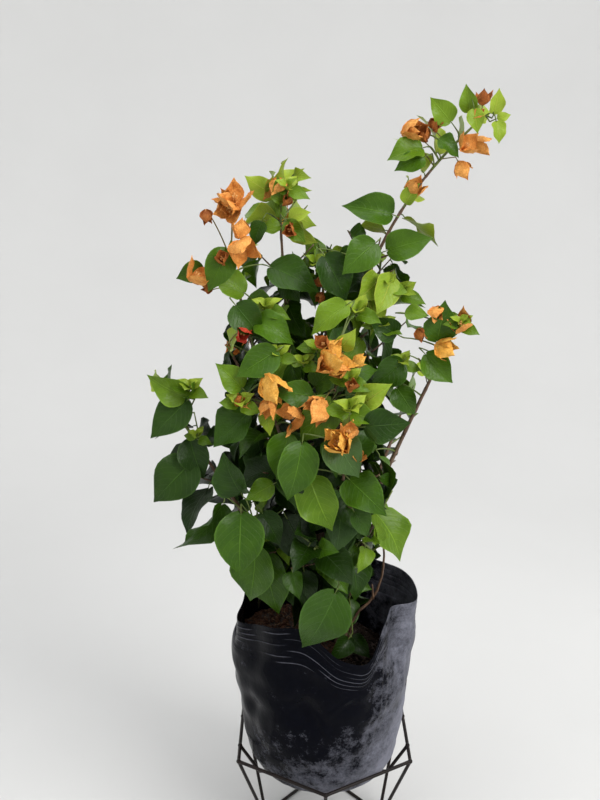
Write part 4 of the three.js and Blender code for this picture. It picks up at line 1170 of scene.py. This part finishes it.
def bract(base, axis, out, size, flare, tint):
    side = np.cross(out, axis)
    bend = bract_rng.normal(0, 0.05)
    points = []
    for k, (t, half, away) in enumerate(BRACT_ROWS):
        for j, u in enumerate(BRACT_ACROSS):
            keel = 0.15 * (1 - abs(u)) * math.sin(t * math.pi)
            crinkle = (0.018 * (-1) ** (j + k) + bract_rng.normal(0, 0.014 + 0.022 * abs(u))) * (0 < k < 7)
            ahead, aside = t - 0.05 * abs(u) * flare, half * u + bend * t
            points.append(base + axis * size * ahead + out * size * (away * flare + keel + crinkle)
                          + side * size * aside)
    sheet = closed_sheet(np.array(points), len(BRACT_ROWS), len(BRACT_ACROSS), BRACT_THICK, out)
    bracts[tint].add(*sheet[:2])


def lantern(base, axis, size, flare, tint):
    """One flower: three bracts round it and the slim tubes inside."""
    flat = unit(np.cross(axis, UP + 0.01))
    rest = np.cross(axis, flat)
    spin = bract_rng.uniform(0, 120)
    for k in range(3):
        angle = math.radians(spin + 120 * k)
        out = flat * math.cos(angle) + rest * math.sin(angle)
        length, opened = size * bract_rng.uniform(0.9, 1.08), flare * bract_rng.uniform(0.75, 1.2)
        bract(base, axis, out, length, opened, tint)
        stops = [base + out * 0.6, base + axis * size * 0.25 + out * size * 0.05,
                 base + axis * size * 0.5 + out * size * 0.09]
        florets.add(*tube(stops, [0.7, 0.9, 1.2], 5))


PAIRED_SIZE = 28
named_places = np.array([row[:3] for row in NAMED_LANTERNS], float)
for x, y, z, size, tint in NAMED_LANTERNS:
    middle = np.array([x, y, z], float)
    axis = unit(np.array([bract_rng.normal(0, 0.6), -0.45, bract_rng.normal(0.1, 0.7)]))
    base = middle - axis * size * 0.5
    limb = nearest_limb(base - axis * 8)
    add_tapered(bloom_stalks, bowed(limb, base, 0.08 * np.linalg.norm(base - limb), 7), 1.0, 0.65, 5)
    lantern(base, axis, size, 0.5 if size < 24 or tint == "red" else bract_rng.uniform(0.6, 1.15), tint)
    if size > PAIRED_SIZE:
        beside = unit(axis + 0.7 * bract_rng.normal(size=3))
        lantern(base + beside * 3, beside, size * 0.75, bract_rng.uniform(0.5, 0.9), tint)
for cane, mass in zip(CANES, masses):
    for root, axis, size in mass.blooms:
        fork = root + axis * 18
        bloom_stalks.add(*tube([root, root + axis * 9, fork], [0.8, 0.7, 0.7], 5))
        beside_named = np.linalg.norm(named_places - (root + axis * 34), axis=1).min() < 55
        for k in range(1 if beside_named else 2):
            lean = unit(axis + 0.5 * bract_rng.normal(size=3))
            foot = fork + lean * 7
            bloom_stalks.add(*tube([fork, (fork + foot) / 2, foot], [0.6, 0.6, 0.8], 5))
            tint = BRACT_TINTS[int(bract_rng.choice([0, 0, 1, 2]))]
            breadth = bract_rng.uniform(15, 20) if beside_named else bract_rng.uniform(24, 31)
            lantern(foot, lean, breadth * size, bract_rng.uniform(0.7, 1.1), tint)

# The papery skin is crossed by a net of sunken, darker veins.
for tint, tones in BRACT_TONES.items():
    paper = Finish(tint + " bract paper", Roughness=0.6, Specular_IOR_Level=0.2)
    net = paper.node("TexVoronoi", {"Vector": paper.place, "Scale": 300}, feature="DISTANCE_TO_EDGE")
    veins = paper.between(net.outputs["Distance"], 0.0, 0.09)
    tone = paper.blend(paper.between(paper.noise(110), 0.35, 0.65), *tones)
    darker = tuple(c * 0.72 for c in tones[0])
    paper.feed("Base Color", paper.blend(paper.between(veins, 0, 1, 0.5, 1), darker, tone))
    paper.relief(veins, 0.7, 0.0007)
    finished(bracts[tint].piece("bracts_" + tint, sharp=50), "leaves", paper)
tube_tones = (0.50, 0.20, 0.05), (0.70, 0.36, 0.10)
piece = florets.piece("flower_tubes")
finished(piece, "leaves", mottled("flower tube", tube_tones, 200, 500, 0.0003, Roughness=0.6))
bloom_stalk_tones = (0.13, 0.12, 0.03), (0.24, 0.17, 0.05)
piece = bloom_stalks.piece("bloom_stalks")
finished(piece, "leaves", mottled("bloom stalk", bloom_stalk_tones, 200, 500, 0.0003, Roughness=0.55))


# Floor, light and view. A wide pale dish of a floor that is flat under the plant and turns up far
# away, lit softly by a window at the right, by the ceiling and by the room.
FLOOR_SIDES = 96
FLAT, CURVE = 1.3, 2.1
profile = [(r, 0) for r in (0.25, 0.5, 1.0, FLAT)]
for angle in np.radians(range(5, 91, 5)).tolist():
    profile.append((FLAT + CURVE * math.sin(angle), CURVE - CURVE * math.cos(angle)))
profile.append((FLAT + CURVE, 2 * CURVE))
turns = [2 * math.pi * k / FLOOR_SIDES for k in range(FLOOR_SIDES)]
dish = [(r * math.cos(turn), r * math.sin(turn), z) for r, z in profile for turn in turns]
faces = [tuple(reversed(quad)) for quad in ring_quads(len(profile), FLOOR_SIDES)]
faces += [(len(dish), k, (k + 1) % FLOOR_SIDES) for k in range(FLOOR_SIDES)]
floor = mesh_piece("pale_floor", dish + [(0, 0, 0)], faces)
floor_tones = (0.605, 0.605, 0.60), (0.625, 0.625, 0.62)
floor_finish = mottled("pale studio floor", floor_tones, 1.5, 5, 0.0, Roughness=0.9, Specular_IOR_Level=0.2)
floor.data.materials.append(floor_finish.material)


def soft_light(name, place, target, size, power, colour):
    lamp = bpy.data.lights.new(name, "AREA")
    lamp.size, lamp.energy, lamp.color = size, power, colour
    holder = bpy.data.objects.new(name, lamp)
    bpy.context.scene.collection.objects.link(holder)
    holder.location = place
    holder.rotation_euler = (Vector(target) - Vector(place)).to_track_quat("-Z", "Y").to_euler()


soft_light("window_light", (1.7, -1.5, 2.3), (0, 0, 0.55), 1.5, 60, (1.0, 0.99, 0.97))
soft_light("ceiling_light", (0.0, 0.3, 3.9), (0, 0.6, 0), 3.0, 62, (1.0, 1.0, 1.0))
soft_light("room_fill", (-1.9, -1.5, 1.6), (0, 0, 0.5), 2.2, 7, (0.97, 0.98, 1.0))
world = bpy.data.worlds.new("soft room")
bpy.context.scene.world = world
world.use_nodes = True
world.node_tree.nodes["Background"].inputs["Color"].default_value = (0.98, 0.99, 1.0, 1)
world.node_tree.nodes["Background"].inputs["Strength"].default_value = 0.8
bpy.context.scene.view_settings.view_transform = "Standard"
